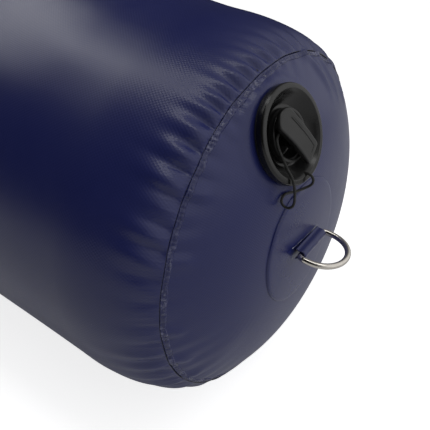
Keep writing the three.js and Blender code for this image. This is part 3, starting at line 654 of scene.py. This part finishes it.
def tube_normal(theta, s):
    e = 1e-3
    around = tube_base(theta + e, s) - tube_base(theta - e, s)
    along = tube_base(theta, s + 0.5) - tube_base(theta, np.maximum(0, s - 0.5))
    n = np.cross(along, around)
    n /= np.linalg.norm(n, axis=-1)[..., None]
    outward = n[..., 1] * np.cos(theta) + n[..., 2] * np.sin(theta)
    return n * np.sign(outward)[..., None]


def low_folds(theta, x):
    """Broad, soft waves of the cloth along the tube."""
    broad = 0.9 * np.sin(3 * theta + x / 150) * np.sin(x / 95 + 0.6)
    narrow = 0.5 * np.sin(7 * theta - x / 60 + 1.0)
    return (broad + narrow) * 0.55


def tube_surface(theta, s, field, side, below=0.0):
    """Points of the tube's cloth in row coordinates; side is 1 at the valve end and -1 at the
    rear."""
    P = tube_base(theta, s)
    n = tube_normal(theta, s)
    lying = smooth(-0.995, -0.90, np.sin(theta))
    lift = folds(theta, s, field, gain=1.3) * lying
    lift = lift + low_folds(theta, s * side) * smooth(10, 90, s) * lying
    P = P + n * (lift - below)[..., None]
    P[..., 0] += wander(theta) * np.exp(-s / 9.0)
    P = to_floor(P)
    if side > 0:
        P[..., 0] += FRONT_X
    else:
        P[..., 0] = REAR_X - P[..., 0]
        P[..., 1] = -P[..., 1]
    return P


def row_steps(end, first=0.9, growth=1.012, last=4.0):
    out = [0.0, 0.2]
    step = first
    while out[-1] + step < end:
        out.append(out[-1] + step)
        step = min(last, step * growth)
    out.append(end)
    return np.array(out)


def build_tube():
    cols = 600
    theta = np.arange(cols) / cols * TAU - math.pi / 2
    near = row_steps(70, 0.9, 1.02, 2.2)
    far = np.concatenate([np.linspace(74, 140, 14), np.linspace(150, LENGTH / 2, 22)])
    front_s = np.concatenate([near, far])
    rear_s = np.concatenate([row_steps(70, 1.3, 1.03, 3.0), far])[:-1][::-1]
    pieces = []
    labels = []
    rows_v = []
    for s, below in ((11.0, SKIN), (5.0, SKIN), (0.0, EDGE)):
        pieces.append(tube_surface(theta[None], np.array([[s]]), front_field, 1, below))
        rows_v.append(FRONT_X - s)
        labels.append(1.0)
    T, S = np.meshgrid(theta, front_s)
    F = tube_surface(T, S, front_field, 1)
    pieces.append(F)
    rows_v += list(FRONT_X - front_s)
    labels += [1.0 if s < 0.1 else 0.0 for s in front_s]
    # The rear half is drawn turned half way round the vertical, so its angles run the other way.
    T, S = np.meshgrid(math.pi - theta, rear_s)
    pieces.append(tube_surface(T, S, rear_field, -1))
    rows_v += list(REAR_X + rear_s)
    labels += [1.0 if s < 0.1 else 0.0 for s in rear_s]
    for s, below in ((0.0, EDGE), (5.0, SKIN), (11.0, SKIN)):
        pieces.append(tube_surface((math.pi - theta)[None], np.array([[s]]), rear_field, -1, below))
        rows_v.append(REAR_X + s)
        labels.append(1.0)
    P = np.concatenate([p.reshape(-1, cols, 3) for p in pieces])
    uv = np.zeros((len(P), cols + 1, 2))
    uv[..., 0] = (np.arange(cols + 1) / cols * TAU * 190 / 1000)[None]
    uv[..., 1] = (np.array(rows_v) / 1000)[:, None]
    obj = grid("fender_tube", P, uv)
    raw = obj.data.attributes.new("raw_edge", "FLOAT", "POINT")
    raw.data.foreach_set("value", np.repeat(np.array(labels, np.float32), cols))
    return obj


def darken_edges(material):
    """The cut edge of the cloth is painted dark: partly its own dark core, partly painted shade for the
    narrow gap at the seam.
    """
    t = Tree(material.name, material)
    source = t.bsdf.inputs["Base Color"].links[0].from_socket
    edge = t.attribute("raw_edge")
    # The dark colour on the raw edge is partly the cloth's core and partly painted shade in the gap at
    # the seam.
    color = t.mix(t.ramp(edge, 0.15, 0.7), Value(t, source), (0.0022, 0.0022, 0.0035))
    t.links.new(color.socket, t.bsdf.inputs["Base Color"])
    return material


tube_mat = darken_edges(cloth("coated_cloth_tube", NAVY, NAVY_LIGHT,
                             seams=((FRONT_X / 1000, 0.024), (REAR_X / 1000, 0.024))))
tube_obj = dress(build_tube(), tube_mat, "fender", "navy_cloth", "tube_skin")

# Long soft folds on the disc: three points as a share of the seam's radius and an angle, then
# height and width
DISC_FOLDS = [
    ((0.99, 84.0), (0.90, 77.0), (0.745, 66.0), 2.6, 4.5),
    ((0.99, 74.0), (0.90, 68.5), (0.76, 57.0), 2.1, 4.0),
    ((0.99, 62.0), (0.90, 56.0), (0.78, 46.0), 1.8, 5.0),
    ((0.99, 128.5), (0.95, 126.5), (0.90, 124.0), 1.2, 5.0),
    ((0.99, 143.5), (0.95, 143.0), (0.90, 142.0), 1.0, 5.0),
    ((0.99, 160.0), (0.94, 160.5), (0.87, 161.5), 0.9, 5.0),
    ((0.99, 182.0), (0.95, 183.5), (0.90, 185.5), 1.0, 4.0),
    ((0.99, 195.0), (0.95, 197.5), (0.90, 200.5), 1.2, 4.0),
    ((0.99, 208.5), (0.96, 210.0), (0.92, 212.0), 1.0, 4.5),
    ((0.93, 215.0), (0.80, 206.0), (0.58, 194.0), 0.9, 16.0),
    ((0.92, 20.0), (0.85, 12.0), (0.72, 2.0), 0.9, 8.0),
    ((0.97, 330.0), (0.86, 322.0), (0.70, 312.0), 0.8, 9.0),
]


def fold_line(y, z, entry):
    """Height of one long fold at a point of the disc."""
    q, a = np.array(entry[:3]).T
    a = np.radians(a)
    p = np.stack([q * SEAM_R * np.cos(a), q * SEAM_R * np.sin(a)], -1)
    height, width = entry[3:]
    t = np.linspace(0, 1, 24)[:, None]
    line = (1 - t) ** 2 * p[0] + 2 * t * (1 - t) * (2 * p[1] - (p[0] + p[2]) / 2) + t * t * p[2]
    best = np.full(y.shape, 1e9)
    share = np.zeros(y.shape)
    for k, (a, b) in enumerate(line):
        d = np.hypot(y - a, z - b)
        closer = d < best
        best = np.where(closer, d, best)
        share = np.where(closer, k / 23, share)
    return height * np.exp(-(best / width) ** 2) * smooth(0, 0.12,
                                                          share + 0.12) * (1
                                                                           - smooth(0.55, 1.0,
                                                                                    share))


def disc_surface(y, z, field, with_valve, below=0.0):
    """Outer face of a disc's cloth in seam coordinates, y and z from the disc's centre."""
    e = 0.05
    k = np.maximum(1, np.hypot(y, z / SAG) / (SEAM_R - 0.2))
    cy, cz = y / k, z / k
    n = np.stack([np.ones_like(y), -(dome_x(cy + e, cz) - dome_x(cy - e, cz)) / (2 * e),
                  -(dome_x(cy, cz + e) - dome_x(cy, cz - e)) / (2 * e)], -1)
    n /= np.linalg.norm(n, axis=-1)[..., None]
    P = np.stack([dome_x(y, z), y, SEAM_Z + z], -1)
    q = np.hypot(y, z / SAG) / SEAM_R
    theta = np.arctan2(z / SAG, y)
    s = (1 - q) * SEAM_R
    lift = folds(theta, np.maximum(s, 0), field, 0.72, 0.42)
    if with_valve:
        for entry in DISC_FOLDS:
            lift += fold_line(y, z / SAG, entry)
    lift += 0.35 * np.sin(y / 31 + 0.8) * np.sin(z / 38 + 0.3) * (1 - smooth(0.85, 0.97, q))
    P = P + n * (CLOTH + lift)[..., None]
    if with_valve:
        o = VALVE_O - np.array([FRONT_X, 0, 0])
        d = P - o
        across = np.hypot(d @ VALVE_U, d @ VALVE_V)
        flat = (1 - smooth(34.5, 49.5, across)) * (1 - smooth(0.953, 1, q))
        P = P + ((CLOTH - d @ VALVE_N) * flat)[..., None] * VALVE_N
        n = n * (1 - flat)[..., None] + VALVE_N * flat[..., None]
        n /= np.linalg.norm(n, axis=-1)[..., None]
    P[..., 0] += wander(theta) * np.exp(-np.maximum(0, (1 - q) * SEAM_R) / 9.0)
    return P + n * (-below)[..., None] if np.ndim(below) else P - n * below


def disc_to_row(P, front):
    P = P.copy()
    if front:
        P[..., 0] += FRONT_X
    else:
        P[..., 0] = REAR_X - P[..., 0]
        P[..., 1] = -P[..., 1]
    return P


def build_disc(name, field, front):
    cols = 600
    theta = np.arange(cols) / cols * TAU - math.pi / 2
    q = np.concatenate([np.linspace(0.004, 0.30, 9), np.linspace(0.32, 0.80, 26),
                        np.linspace(0.806, 1.0, 42)])
    T, Q = np.meshgrid(theta, q)
    y = Q * SEAM_R * np.cos(T)
    z = Q * SEAM_R * SAG * np.sin(T)
    P = disc_to_row(disc_surface(y, z, field, front), front)
    # The lap under the tube's edge
    laps = []
    for s in (4.0, 10.5):
        lap = tube_surface(theta[None], np.array([[s]]), field, 1 if front else -1, SKIN + GAP)
        laps.append(lap.reshape(1, cols, 3))
    P = np.concatenate([P] + laps)
    uv = np.zeros((len(P), cols + 1, 2))
    Tw = np.arange(cols + 1) / cols * TAU - math.pi / 2
    qq = np.append(q, [1.03, 1.07])
    uv[..., 0] = qq[:, None] * 0.175 * np.cos(Tw)[None]
    uv[..., 1] = qq[:, None] * 0.175 * np.sin(Tw)[None]
    keep = None
    if front:
        centre = P - VALVE_O
        across = np.hypot(centre @ VALVE_U, centre @ VALVE_V)
        keep = across > 31.5
    obj = grid(name, P, uv, keep=keep)
    return obj


front_disc = dress(build_disc("fender_front_disc", front_field, True), navy, "fender", "navy_cloth",
                   "front_disc")
rear_disc = dress(build_disc("fender_rear_disc", rear_field, False), navy, "fender", "navy_cloth",
                  "rear_disc")


def build_tape(name, field, front):
    """The crimped weld beside the tube's edge."""
    cols = 1500
    theta = np.arange(cols) / cols * TAU - math.pi / 2
    rng = np.random.RandomState(5 if front else 6)
    arc = theta * SEAM_R
    ticks = np.zeros(cols)
    place = 0.0
    while place < TAU * SEAM_R:
        place += rng.uniform(2.6, 8.5)
        d = (arc + math.pi / 2 * SEAM_R - place + math.pi * SEAM_R) % (TAU
                                                                       * SEAM_R) - math.pi * SEAM_R
        ticks -= rng.uniform(0.25, 0.75) * np.exp(-(d / rng.uniform(0.45, 0.9)) ** 2)
    puff = 0.35 * np.sin(arc / 5.3 + 2 * np.sin(arc / 41)) + 0.25 * np.sin(arc / 2.9 + 1.3)
    # Across the band: from the tube's edge to the disc
    across = [(0.25, 0.05), (0.45, 0.66), (0.80, 0.80), (1.15, 0.66), (1.5, 0.60), (1.9, 0.74),
              (2.4, 0.88),
              (3.0, 0.90), (3.5, 0.78), (3.85, 0.45), (4.1, 0.02)]
    rows = []
    uvs = []
    for inset, height in across:
        width = inset + (0.25 * np.sin(arc / 7.7 + 0.5) + 0.2 * np.sin(arc / 3.1)) * (inset / 4.1)
        q = 1 - width / SEAM_R
        y = q * SEAM_R * np.cos(theta)
        z = q * SEAM_R * SAG * np.sin(theta)
        mid = math.sin(math.pi * min(1, inset / 4.15))
        up_by = height * (0.85 + 0.35 * puff * mid) + ticks * mid * 0.8
        P = disc_surface(y, z, field, front, -(0.02 + np.maximum(up_by, 0.05)))
        rows.append(disc_to_row(P, front))
        uvs.append(np.stack([np.append(arc, arc[0] + TAU * SEAM_R) / 1000,
                             np.full(cols + 1, inset / 1000)], -1))
    obj = grid(name, np.array(rows), np.array(uvs))
    return obj


front_tape = dress(build_tape("fender_front_seam_weld", front_field, True), weld, "fender",
                   "navy_tape",
                   "front_seam_tape")
rear_tape = dress(build_tape("fender_rear_seam_weld", rear_field, False), weld, "fender",
                  "navy_tape",
                  "rear_seam_tape")


def build_patch(name, centre, field, front):
    """Round patch with a soft, slightly uneven edge."""
    cols = 240
    a = np.arange(cols) / cols * TAU
    profile = [(max(0.02, r), 1.6) for r in range(0, 50, 3)]
    profile += [(50, 1.62), (52, 1.64),
               (53.4, 1.60), (54.4, 1.50), (55.2, 1.20), (55.7, 0.72), (56.0, 0.20), (56.05, 0.05)]
    rows = []
    uvs = []
    ring = np.append(a, TAU)
    for r, h in profile:
        rr = r + 0.25 * np.sin(3 * a + 1) * (r / 56) + 0.12 * np.sin(11 * a) * (r / 56)
        y = centre[0] + rr * np.cos(a)
        z = centre[1] + rr * np.sin(a)
        rows.append(disc_to_row(disc_surface(y, z, field, front, -np.full(cols, h)), front))
        uvs.append(np.stack([r * np.cos(ring) / 1000, r * np.sin(ring) / 1000], -1))
    return grid(name, np.array(rows), np.array(uvs))


dress(build_patch("fender_front_ring_patch", FRONT_PATCH, front_field, True), navy_tape, "fender",
      "navy_tape",
      "front_ring_patch")
dress(build_patch("fender_rear_ring_patch", REAR_PATCH, rear_field, False), navy_tape, "fender",
      "navy_tape",
      "rear_ring_patch")


# Straps: a strip folded round the ring's bar, both ends welded down
def build_strap(name, centre, front):
    """The strap as an even strip with a rounded, slightly flared end on both sides."""
    n_foot = 12
    mid = []
    eye = WIRE / 2 + GAP + STRAP_T / 2
    for t in np.linspace(0, 1, n_foot):
        e = t * t * (3 - 2 * t)
        mid.append((STRAP_T / 2 + 0.05 + (BAR_OUT - STRAP_T / 2) * t,
                    -(eye + (STRAP_FOOT - eye) * (1 - t) ** 4)))
    for a in np.linspace(-90, 90, 22)[1:-1]:
        mid.append((BAR_OUT + eye * math.cos(math.radians(a)), eye * math.sin(math.radians(a))))
    mid += [(x, -z) for x, z in mid[:n_foot]][::-1]
    mid = np.array(mid)
    tangent = np.gradient(mid, axis=0)
    tangent /= np.linalg.norm(tangent, axis=1)[:, None]
    normal = np.stack([tangent[:, 1], -tangent[:, 0]], -1)
    if (normal * (mid - np.array([BAR_OUT, 0])))[len(mid) // 2].sum() < 0:
        normal = -normal
    half_t = STRAP_T / 2 * np.ones(len(mid))
    half_t[:3] *= [0.45, 0.8, 0.97]
    half_t[-3:] *= [0.97, 0.8, 0.45]
    outer = mid + normal * half_t[:, None]
    inner = mid - normal * half_t[:, None]
    loop = np.concatenate([outer, inner[::-1]])
    half = RING_HALF - RING_CORNER
    ys = np.concatenate([[-half, -half + 0.12, -half + 0.5],
                         np.linspace(-half + 1.5, half - 1.5, 27),
                         [half - 0.5, half - 0.12, half]])
    shrink = np.ones(len(ys))
    shrink[:3] = [0.45, 0.8, 0.97]
    shrink[-3:] = [0.97, 0.8, 0.45]
    base = float(dome_x(*centre)) + STRAP_BASE
    P = np.zeros((len(ys), len(loop), 3))
    core = np.concatenate([mid, mid[::-1]])
    for i, y in enumerate(ys):
        sec = core + (loop - core) * shrink[i]
        wob = 0.10 * math.sin(y / 3.1 + 1) + 0.06 * math.sin(y / 1.7)
        out = np.clip(sec[:, 0] / 6, 0, 1)
        P[i, :, 0] = base + sec[:, 0] + wob * out
        P[i, :, 1] = centre[0] + y * (1 + 0.012 * (1 - out))
        P[i, :, 2] = SEAM_Z + centre[1] + sec[:, 1] * (1 + 0.02 * (abs(y) / half) ** 6)
    run = np.concatenate([[0], np.cumsum(np.linalg.norm(np.diff(loop, axis=0), axis=1))]) / 1000
    run = np.append(run, run[-1])
    uv = np.zeros((len(ys), len(loop) + 1, 2))
    uv[..., 0] = (ys / 1000)[:, None]
    uv[..., 1] = run[None]
    P = disc_to_row(P, front)
    rows, cols = P.shape[:2]
    R, C = np.meshgrid(np.arange(rows - 1), np.arange(cols), indexing="ij")
    C1 = (C + 1) % cols
    here, above = R * cols, (R + 1) * cols
    faces = np.stack([here + C, here + C1, above + C1, above + C], -1).reshape(-1, 4).tolist()
    corner = np.stack([uv[R, C], uv[R, C + 1], uv[R + 1, C + 1], uv[R + 1, C]], -2).reshape(-1,
                                                                                            2).tolist()
    m = len(mid)
    for row, turn in ((0, True), (rows - 1, False)):
        for k in range(m - 1):
            quad = [row * cols + k, row * cols + k + 1, row * cols + cols - 2 - k,
                    row * cols + cols - 1 - k]
            faces.append(quad[::-1] if turn else quad)
            corner += [[0.0, 0.0]] * 4
    return turn_out(make_mesh(name, P.reshape(-1, 3), faces, corner))


dress(build_strap("fender_front_ring_strap", FRONT_PATCH, True), navy_tape, "fender", "navy_tape",
      "front_ring_strap")
dress(build_strap("fender_rear_ring_strap", REAR_PATCH, False), navy_tape, "fender", "navy_tape",
      "rear_ring_strap")


def build_beads(name, centre, front):
    """Glue that has squeezed out along the strap's feet, thicker at its ends."""
    rng = np.random.RandomState(9)
    half = RING_HALF - RING_CORNER
    points, faces = [], []
    for sign in (-1, 1):
        line = np.linspace(-half - 2.6, half + 2.6, 70)
        radius = 0.28 + 0.10 * np.sin(line / 2.1) + 0.55 * np.exp(
                                                                  -((np.abs(line) - half - 1.2)
                                                                    / 0.9) ** 2)
        radius *= 0.85 + 0.3 * rng.rand(70)
        radius[0] = radius[-1] = 0.05
        y = centre[0] + line
        z = np.full(70, centre[1] + sign * (STRAP_FOOT + 0.1)) + 0.15 * np.sin(line / 1.9)
        carrier = disc_surface(y, z, front_field, front, -np.full(70, 1.5))
        for k in range(8):
            a = k / 8 * TAU
            ring = carrier.copy()
            ring[:, 0] += radius * 0.8 * math.cos(a)
            ring[:, 2] += radius * 1.1 * math.sin(a)
            points.append(ring)
    P = np.array(points).reshape(2, 8, 70, 3).transpose(0, 2, 1, 3)
    P = disc_to_row(P, front)
    for g in range(2):
        for i in range(69):
            for k in range(8):
                a = g * 560 + i * 8
                b = a + 8
                turn = (k + 1) % 8
                faces.append([a + k, a + turn, b + turn, b + k])
    return make_mesh(name, P.reshape(-1, 3), faces)


dress(build_beads("fender_front_strap_glue", FRONT_PATCH, True), bead, "fender", "navy_tape")
dress(build_beads("fender_rear_strap_glue", REAR_PATCH, False), bead, "fender", "navy_tape")


# D-rings
def ring_path():
    """Half points of the D in its own plane: outwards from the bar, and along the bar."""
    w, c = RING_HALF, RING_CORNER
    bow = RING_DEPTH - c - 3
    pts = [(0.0, y) for y in np.linspace(-(w - c), w - c, 25)]
    for a in np.linspace(0, 90, 9)[1:]:
        t = math.radians(a)
        pts.append((c - c * math.cos(t), w - c + c * math.sin(t)))
    for t in np.linspace(0, math.pi, 61):
        pts.append((RING_DEPTH - bow + bow * math.sin(t) ** 0.9, w * math.cos(t)))
    for a in np.linspace(90, 0, 9)[:-1]:
        t = math.radians(a)
        pts.append((c - c * math.cos(t), -(w - c + c * math.sin(t))))
    p = np.array(pts)
    # Even steps and a light rounding
    closed = np.vstack([p, p[:1]])
    run = np.concatenate([[0], np.cumsum(np.linalg.norm(np.diff(closed, axis=0), axis=1))])
    t = np.linspace(0, run[-1], 221)[:-1]
    q = np.stack([np.interp(t, run, closed[:, 0]), np.interp(t, run, closed[:, 1])], -1)
    for _ in range(6):
        q = 0.5 * q + 0.25 * (np.roll(q, 1, 0) + np.roll(q, -1, 0))
    return q


def build_ring(name, centre, drop, front):
    q = ring_path()
    c, s = math.cos(math.radians(drop)), math.sin(math.radians(drop))
    P = np.stack([q[:, 0] * c, q[:, 1], -q[:, 0] * s], -1)
    P += np.array([float(dome_x(*centre)) + BAR, centre[0], SEAM_Z + centre[1]])
    obj, _ = sweep(name, disc_to_row(P, front), WIRE / 2, 28, closed=True)
    return obj


dress(build_ring("fender_front_d_ring", FRONT_PATCH, FRONT_DROP, True), stainless, "front_ring",
      "stainless_steel", "front_d_ring")
dress(build_ring("fender_rear_d_ring", REAR_PATCH, REAR_DROP, False), stainless, "rear_ring",
      "stainless_steel", "rear_d_ring")


# Valve
def turned(name, profile, segments=160, closed=True):
    """A turned piece on the valve's axis from its profile of radius and height, in order round the
    section."""
    p = np.array(profile, float)
    a = np.arange(segments) / segments * TAU
    P = np.zeros((len(p), segments, 3))
    P[..., 0] = p[:, 0:1] * np.cos(a)
    P[..., 1] = p[:, 0:1] * np.sin(a)
    P[..., 2] = p[:, 1:2]
    obj = grid(name, valve_to_row(P), None, close_rows=closed)
    return turn_out(obj)


def rounded(points, radii, steps=5, closed=True):
    """Rounds the corners of a closed outline."""
    out = []
    n = len(points)
    for i in range(n):
        p = np.array(points[i], float)
        r = radii[i] if not np.isscalar(radii) else radii
        if r <= 0 or (not closed and i in (0, n - 1)):
            out.append(tuple(p))
            continue
        a = np.array(points[i - 1], float)
        b = np.array(points[(i + 1) % n], float)
        la, lb = np.linalg.norm(a - p), np.linalg.norm(b - p)
        r = min(r, la * 0.49, lb * 0.49)
        pa = p + (a - p) / la * r
        pb = p + (b - p) / lb * r
        for t in np.linspace(0, 1, steps):
            out.append(tuple((1 - t) ** 2 * pa + 2 * t * (1 - t) * p + t * t * pb))
    return out


def bowl(t):
    """The dish between the seat and the rim."""
    r = 22.4 + (31.1 - 22.4) * t
    return r, -2.2 + (6.4 + 2.2) * (0.55 * t + 0.45 * t * t)


body_outline = [(36.1, 1.2), (36.1, 5.6), (35.2, 7.0), (31.9, 7.0), (31.4, 6.4)]
body_radii = [0.3, 0.5, 0.7, 0.35, 0.2]
for t in np.linspace(0.9, 0.06, 12):
    body_outline.append(bowl(t))
    body_radii.append(0)
body_outline += [(22.2, -2.2), (17.6, -2.2), (17.6, -27.3), (15.2, -27.3), (15.2, -31), (20.6, -31),
                 (20.6, -16),
                 (28, -12), (28, 1.2)]
body_radii += [0.6, 0.3, 0, 0, 0.3, 0.3, 0.5, 0.5, 0.2]
body = turned("fender_valve_body", rounded(body_outline, body_radii), 200)
dress(body, black, "fender", "black_plastic", "valve_body")

CAP_SEAT = -2.2 + 1.2 + 0.6
cap_outline = [(0.01, -11), (14.4, -11), (14.4, -13), (17.3, -13), (17.3, CAP_SEAT),
               (19.6, CAP_SEAT), (19.6, 3.0),
               (17.2, 3.0), (15.8, 1.5), (14.6, -9), (8.0, -9), (8.0, -0.2), (5.6, -0.2),
               (5.6, 7.0), (0.01, 7.0)]
cap_radii = [0, 0.2, 0.4, 0.5, 0.1, 0.5, 0.9, 0.6, 0.8, 1.6, 1.2, 0.6, 0.4, 0, 0]
cap_cup = turned("fender_valve_cap", rounded(cap_outline, cap_radii, closed=False), 160,
                 closed=False)


HANDLE_WAIST = 0.35
HANDLE_TURN = -50.3
HANDLE_ARCH = 1.9
HANDLE_DROP = 0.7
HANDLE_CORNER = 1.6


def bar_outline(inset):
    """The handle's outline: a round end, slightly waisted sides and a square end with small
    rounded corners."""
    corner = HANDLE_CORNER
    h = 9.3 - inset
    right = 24.0 - inset
    left = -23.0 + inset
    pts = []
    for a in np.linspace(270, 90, 40):
        t = math.radians(a)
        pts.append((left + h * 0.7 + h * 0.7 * math.cos(t), h * math.sin(t)))
    for x in np.linspace(left + h, right - corner, 30)[1:]:
        u = (x - left - h) / (right - corner - left - h)
        pts.append((x, h - 4 * HANDLE_WAIST * u * (1 - u)))
    for a in np.linspace(90, 0, 7)[1:]:
        t = math.radians(a)
        pts.append((right - corner + corner * math.cos(t), h - corner + corner * math.sin(t)))
    for a in np.linspace(0, -90, 7):
        t = math.radians(a)
        pts.append((right - corner + corner * math.cos(t), -h + corner + corner * math.sin(t)))
    for x in np.linspace(right - corner, left + h, 30)[1:-1]:
        u = (x - left - h) / (right - corner - left - h)
        pts.append((x, -h + 4 * HANDLE_WAIST * u * (1 - u)))
    return np.array(pts)


def build_bar(name):
    """The handle, as layers of its outline from the underside up, closed below and on top."""
    turn = math.radians(HANDLE_TURN)
    c, s = math.cos(turn), math.sin(turn)
    rows = []
    uvs = []
    layers = [(6.0, 0.98), (6.0, 0.8), (6.05, 0.35), (6.35, 0.08), (6.8, 0.0), (8.6, 0.0),
              (9.2, 0.05), (9.6, 0.2),
              (9.9, 0.5), (10.0, 0.95), (9.98, 1.6), (9.93, 3.4)]
    for w, inset in layers:
        o = bar_outline(inset)
        arch = w + (w > 6.4) * (HANDLE_ARCH * (1 - (o[:, 0] / 24) ** 2) - HANDLE_DROP)
        rows.append(np.stack([o[:, 0] * c - o[:, 1] * s, o[:, 0] * s + o[:, 1] * c, arch], -1))
        ring = np.vstack([o, o[:1]])
        uvs.append(ring / 1000)
    P = np.array(rows)
    n = P.shape[1]
    obj = grid(name, valve_to_row(P), np.array(uvs))
    mesh = obj.data
    bm = bmesh.new()
    bm.from_mesh(mesh)
    bm.verts.ensure_lookup_table()
    layer = bm.loops.layers.uv["weave"]
    for row, flip in ((0, True), (len(rows) - 1, False)):
        order = [row * n + i for i in range(n)]
        if flip:
            order.reverse()
        face = bm.faces.new([bm.verts[i] for i in order])
        for loop, vid in zip(face.loops, order):
            loop[layer].uv = uvs[row][vid - row * n]
        face.smooth = True
    bm.to_mesh(mesh)
    bm.free()
    return turn_out(obj)


bar = build_bar("fender_valve_handle")


def handle_material():
    """Moulded black with one thin engraved line that turns a corner near the square end."""
    t = Tree("moulded_black_handle")
    at = t.place()
    u, v = t.uv()
    cloud = t.noise(at, 40.0, 4.0, 0.6)
    fine = t.noise(at, 900.0, 3.0, 0.6)
    along = t.ramp(u, -0.0143, -0.0138) * t.ramp(u, 0.0198, 0.0202, 1.0, 0.0)
    line = along * t.ramp((v - 0.0040).abs(), 0.00030, 0.00055, 1.0, 0.0)
    down = t.ramp(v, -0.0022, -0.0017) * t.ramp(v, 0.0040, 0.0044, 1.0, 0.0)
    corner = down * t.ramp((u - 0.0197).abs(), 0.00030, 0.00055, 1.0, 0.0)
    groove = t.math("MAXIMUM", line, corner)
    color = t.mix(cloud, (0.0080, 0.0080, 0.0081), (0.0120, 0.0120, 0.0122))
    # The groove's darker colour is painted shade in the engraved line.
    color = t.mix(groove, color, (0.001, 0.001, 0.001))
    height = fine * 0.05 + cloud * 0.05 - groove
    return t.set(Base_Color=color, Roughness=t.ramp(cloud, 0.2, 0.8, 0.34, 0.42) + groove * 0.5,
                 Normal=t.bump(height, 0.0009, 0.9))


dress(bar, handle_material(), "cap", "black_plastic", "valve_cap")
dress(cap_cup, cap_black, "cap", "black_plastic")

# CAD pieces that keep their shape
for node, material in {
    "tube_joint_tape": navy_tape, "valve_gasket": black_rubber, "valve_back_nut": black,
    "valve_core": black,
    "valve_poppet": black_rubber, "valve_spring": spring_wire, "cap_seal": black_rubber,
    "tether_swivel": cap_black,
}.items():
    obj = frame["nodes"][node]
    obj.data.materials.clear()
    obj.data.materials.append(material)


# Floor, backdrop and light
FLOOR_LIFT = 0.79
FLOOR_SHINE = 0.12


def floor():
    """A pale floor that the camera sees nearly white and that keeps the fender's shadow."""
    mesh = bpy.data.meshes.new("studio_floor")
    mesh.from_pydata([(-9, -9, 0), (9, -9, 0), (9, 9, 0), (-9, 9, 0)], [], [(0, 1, 2, 3)])
    obj = add_object("studio_floor", mesh)
    obj.location = (0, 0, -0.0004)
    t = Tree("studio_floor")
    ray = t.node("ShaderNodeLightPath").outputs
    seen = Value(t, ray["Is Camera Ray"]) + Value(t, ray["Is Transmission Ray"])
    t.set(Base_Color=(0.80, 0.80, 0.80), Roughness=0.9, Specular_IOR_Level=0.1,
          Emission_Strength=FLOOR_LIFT,
          Emission_Color=seen + Value(t, ray["Is Glossy Ray"]) * FLOOR_SHINE)
    obj.data.materials.append(t.mat)
    return obj


floor()


def area(name, place, aim, power, size_x, size_y):
    data = bpy.data.lights.new(name, "AREA")
    data.energy = power
    data.shape = "RECTANGLE"
    data.size = size_x
    data.size_y = size_y
    obj = bpy.data.objects.new(name, data)
    bpy.context.scene.collection.objects.link(obj)
    obj.location = place
    obj.rotation_mode = "QUATERNION"
    obj.rotation_quaternion = (Vector(aim) - Vector(place)).to_track_quat("-Z", "Y")
    return obj


area("left_softbox", (-1.30, 0.05, 1.70), (-0.05, 0.0, 0.30), 6.4, 1.5, 0.9)
area("overhead_strip", (0.15, -0.05, 2.10), (0.15, -0.02, 0.0), 9.5, 2.6, 0.5)


def studio_world():
    """White walls behind and to the right, a dark room on the camera's side."""
    world = bpy.data.worlds.new("studio")
    bpy.context.scene.world = world
    world.use_nodes = True
    nodes, links = world.node_tree.nodes, world.node_tree.links
    place = nodes.new("ShaderNodeTexCoord")
    dot = nodes.new("ShaderNodeVectorMath")
    dot.operation = "DOT_PRODUCT"
    dot.inputs[1].default_value = (0.88, 0.35, 0.32)
    links.new(place.outputs["Generated"], dot.inputs[0])
    fall = nodes.new("ShaderNodeMapRange")
    fall.interpolation_type = "SMOOTHSTEP"
    for i, v in enumerate((0.05, 0.90, 0.02, 0.82)):
        fall.inputs[i + 1].default_value = v
    links.new(dot.outputs["Value"], fall.inputs[0])
    room = nodes["Background"]
    room.inputs[0].default_value = (1, 1, 1, 1)
    links.new(fall.outputs[0], room.inputs[1])
    white = nodes.new("ShaderNodeBackground")
    white.inputs[0].default_value = (1, 1, 1, 1)
    white.inputs[1].default_value = 1.0
    ray = nodes.new("ShaderNodeLightPath")
    mixer = nodes.new("ShaderNodeMixShader")
    links.new(ray.outputs["Is Camera Ray"], mixer.inputs[0])
    links.new(room.outputs[0], mixer.inputs[1])
    links.new(white.outputs[0], mixer.inputs[2])
    links.new(mixer.outputs[0], nodes["World Output"].inputs[0])


studio_world()
bpy.context.scene.view_settings.view_transform = "Standard"
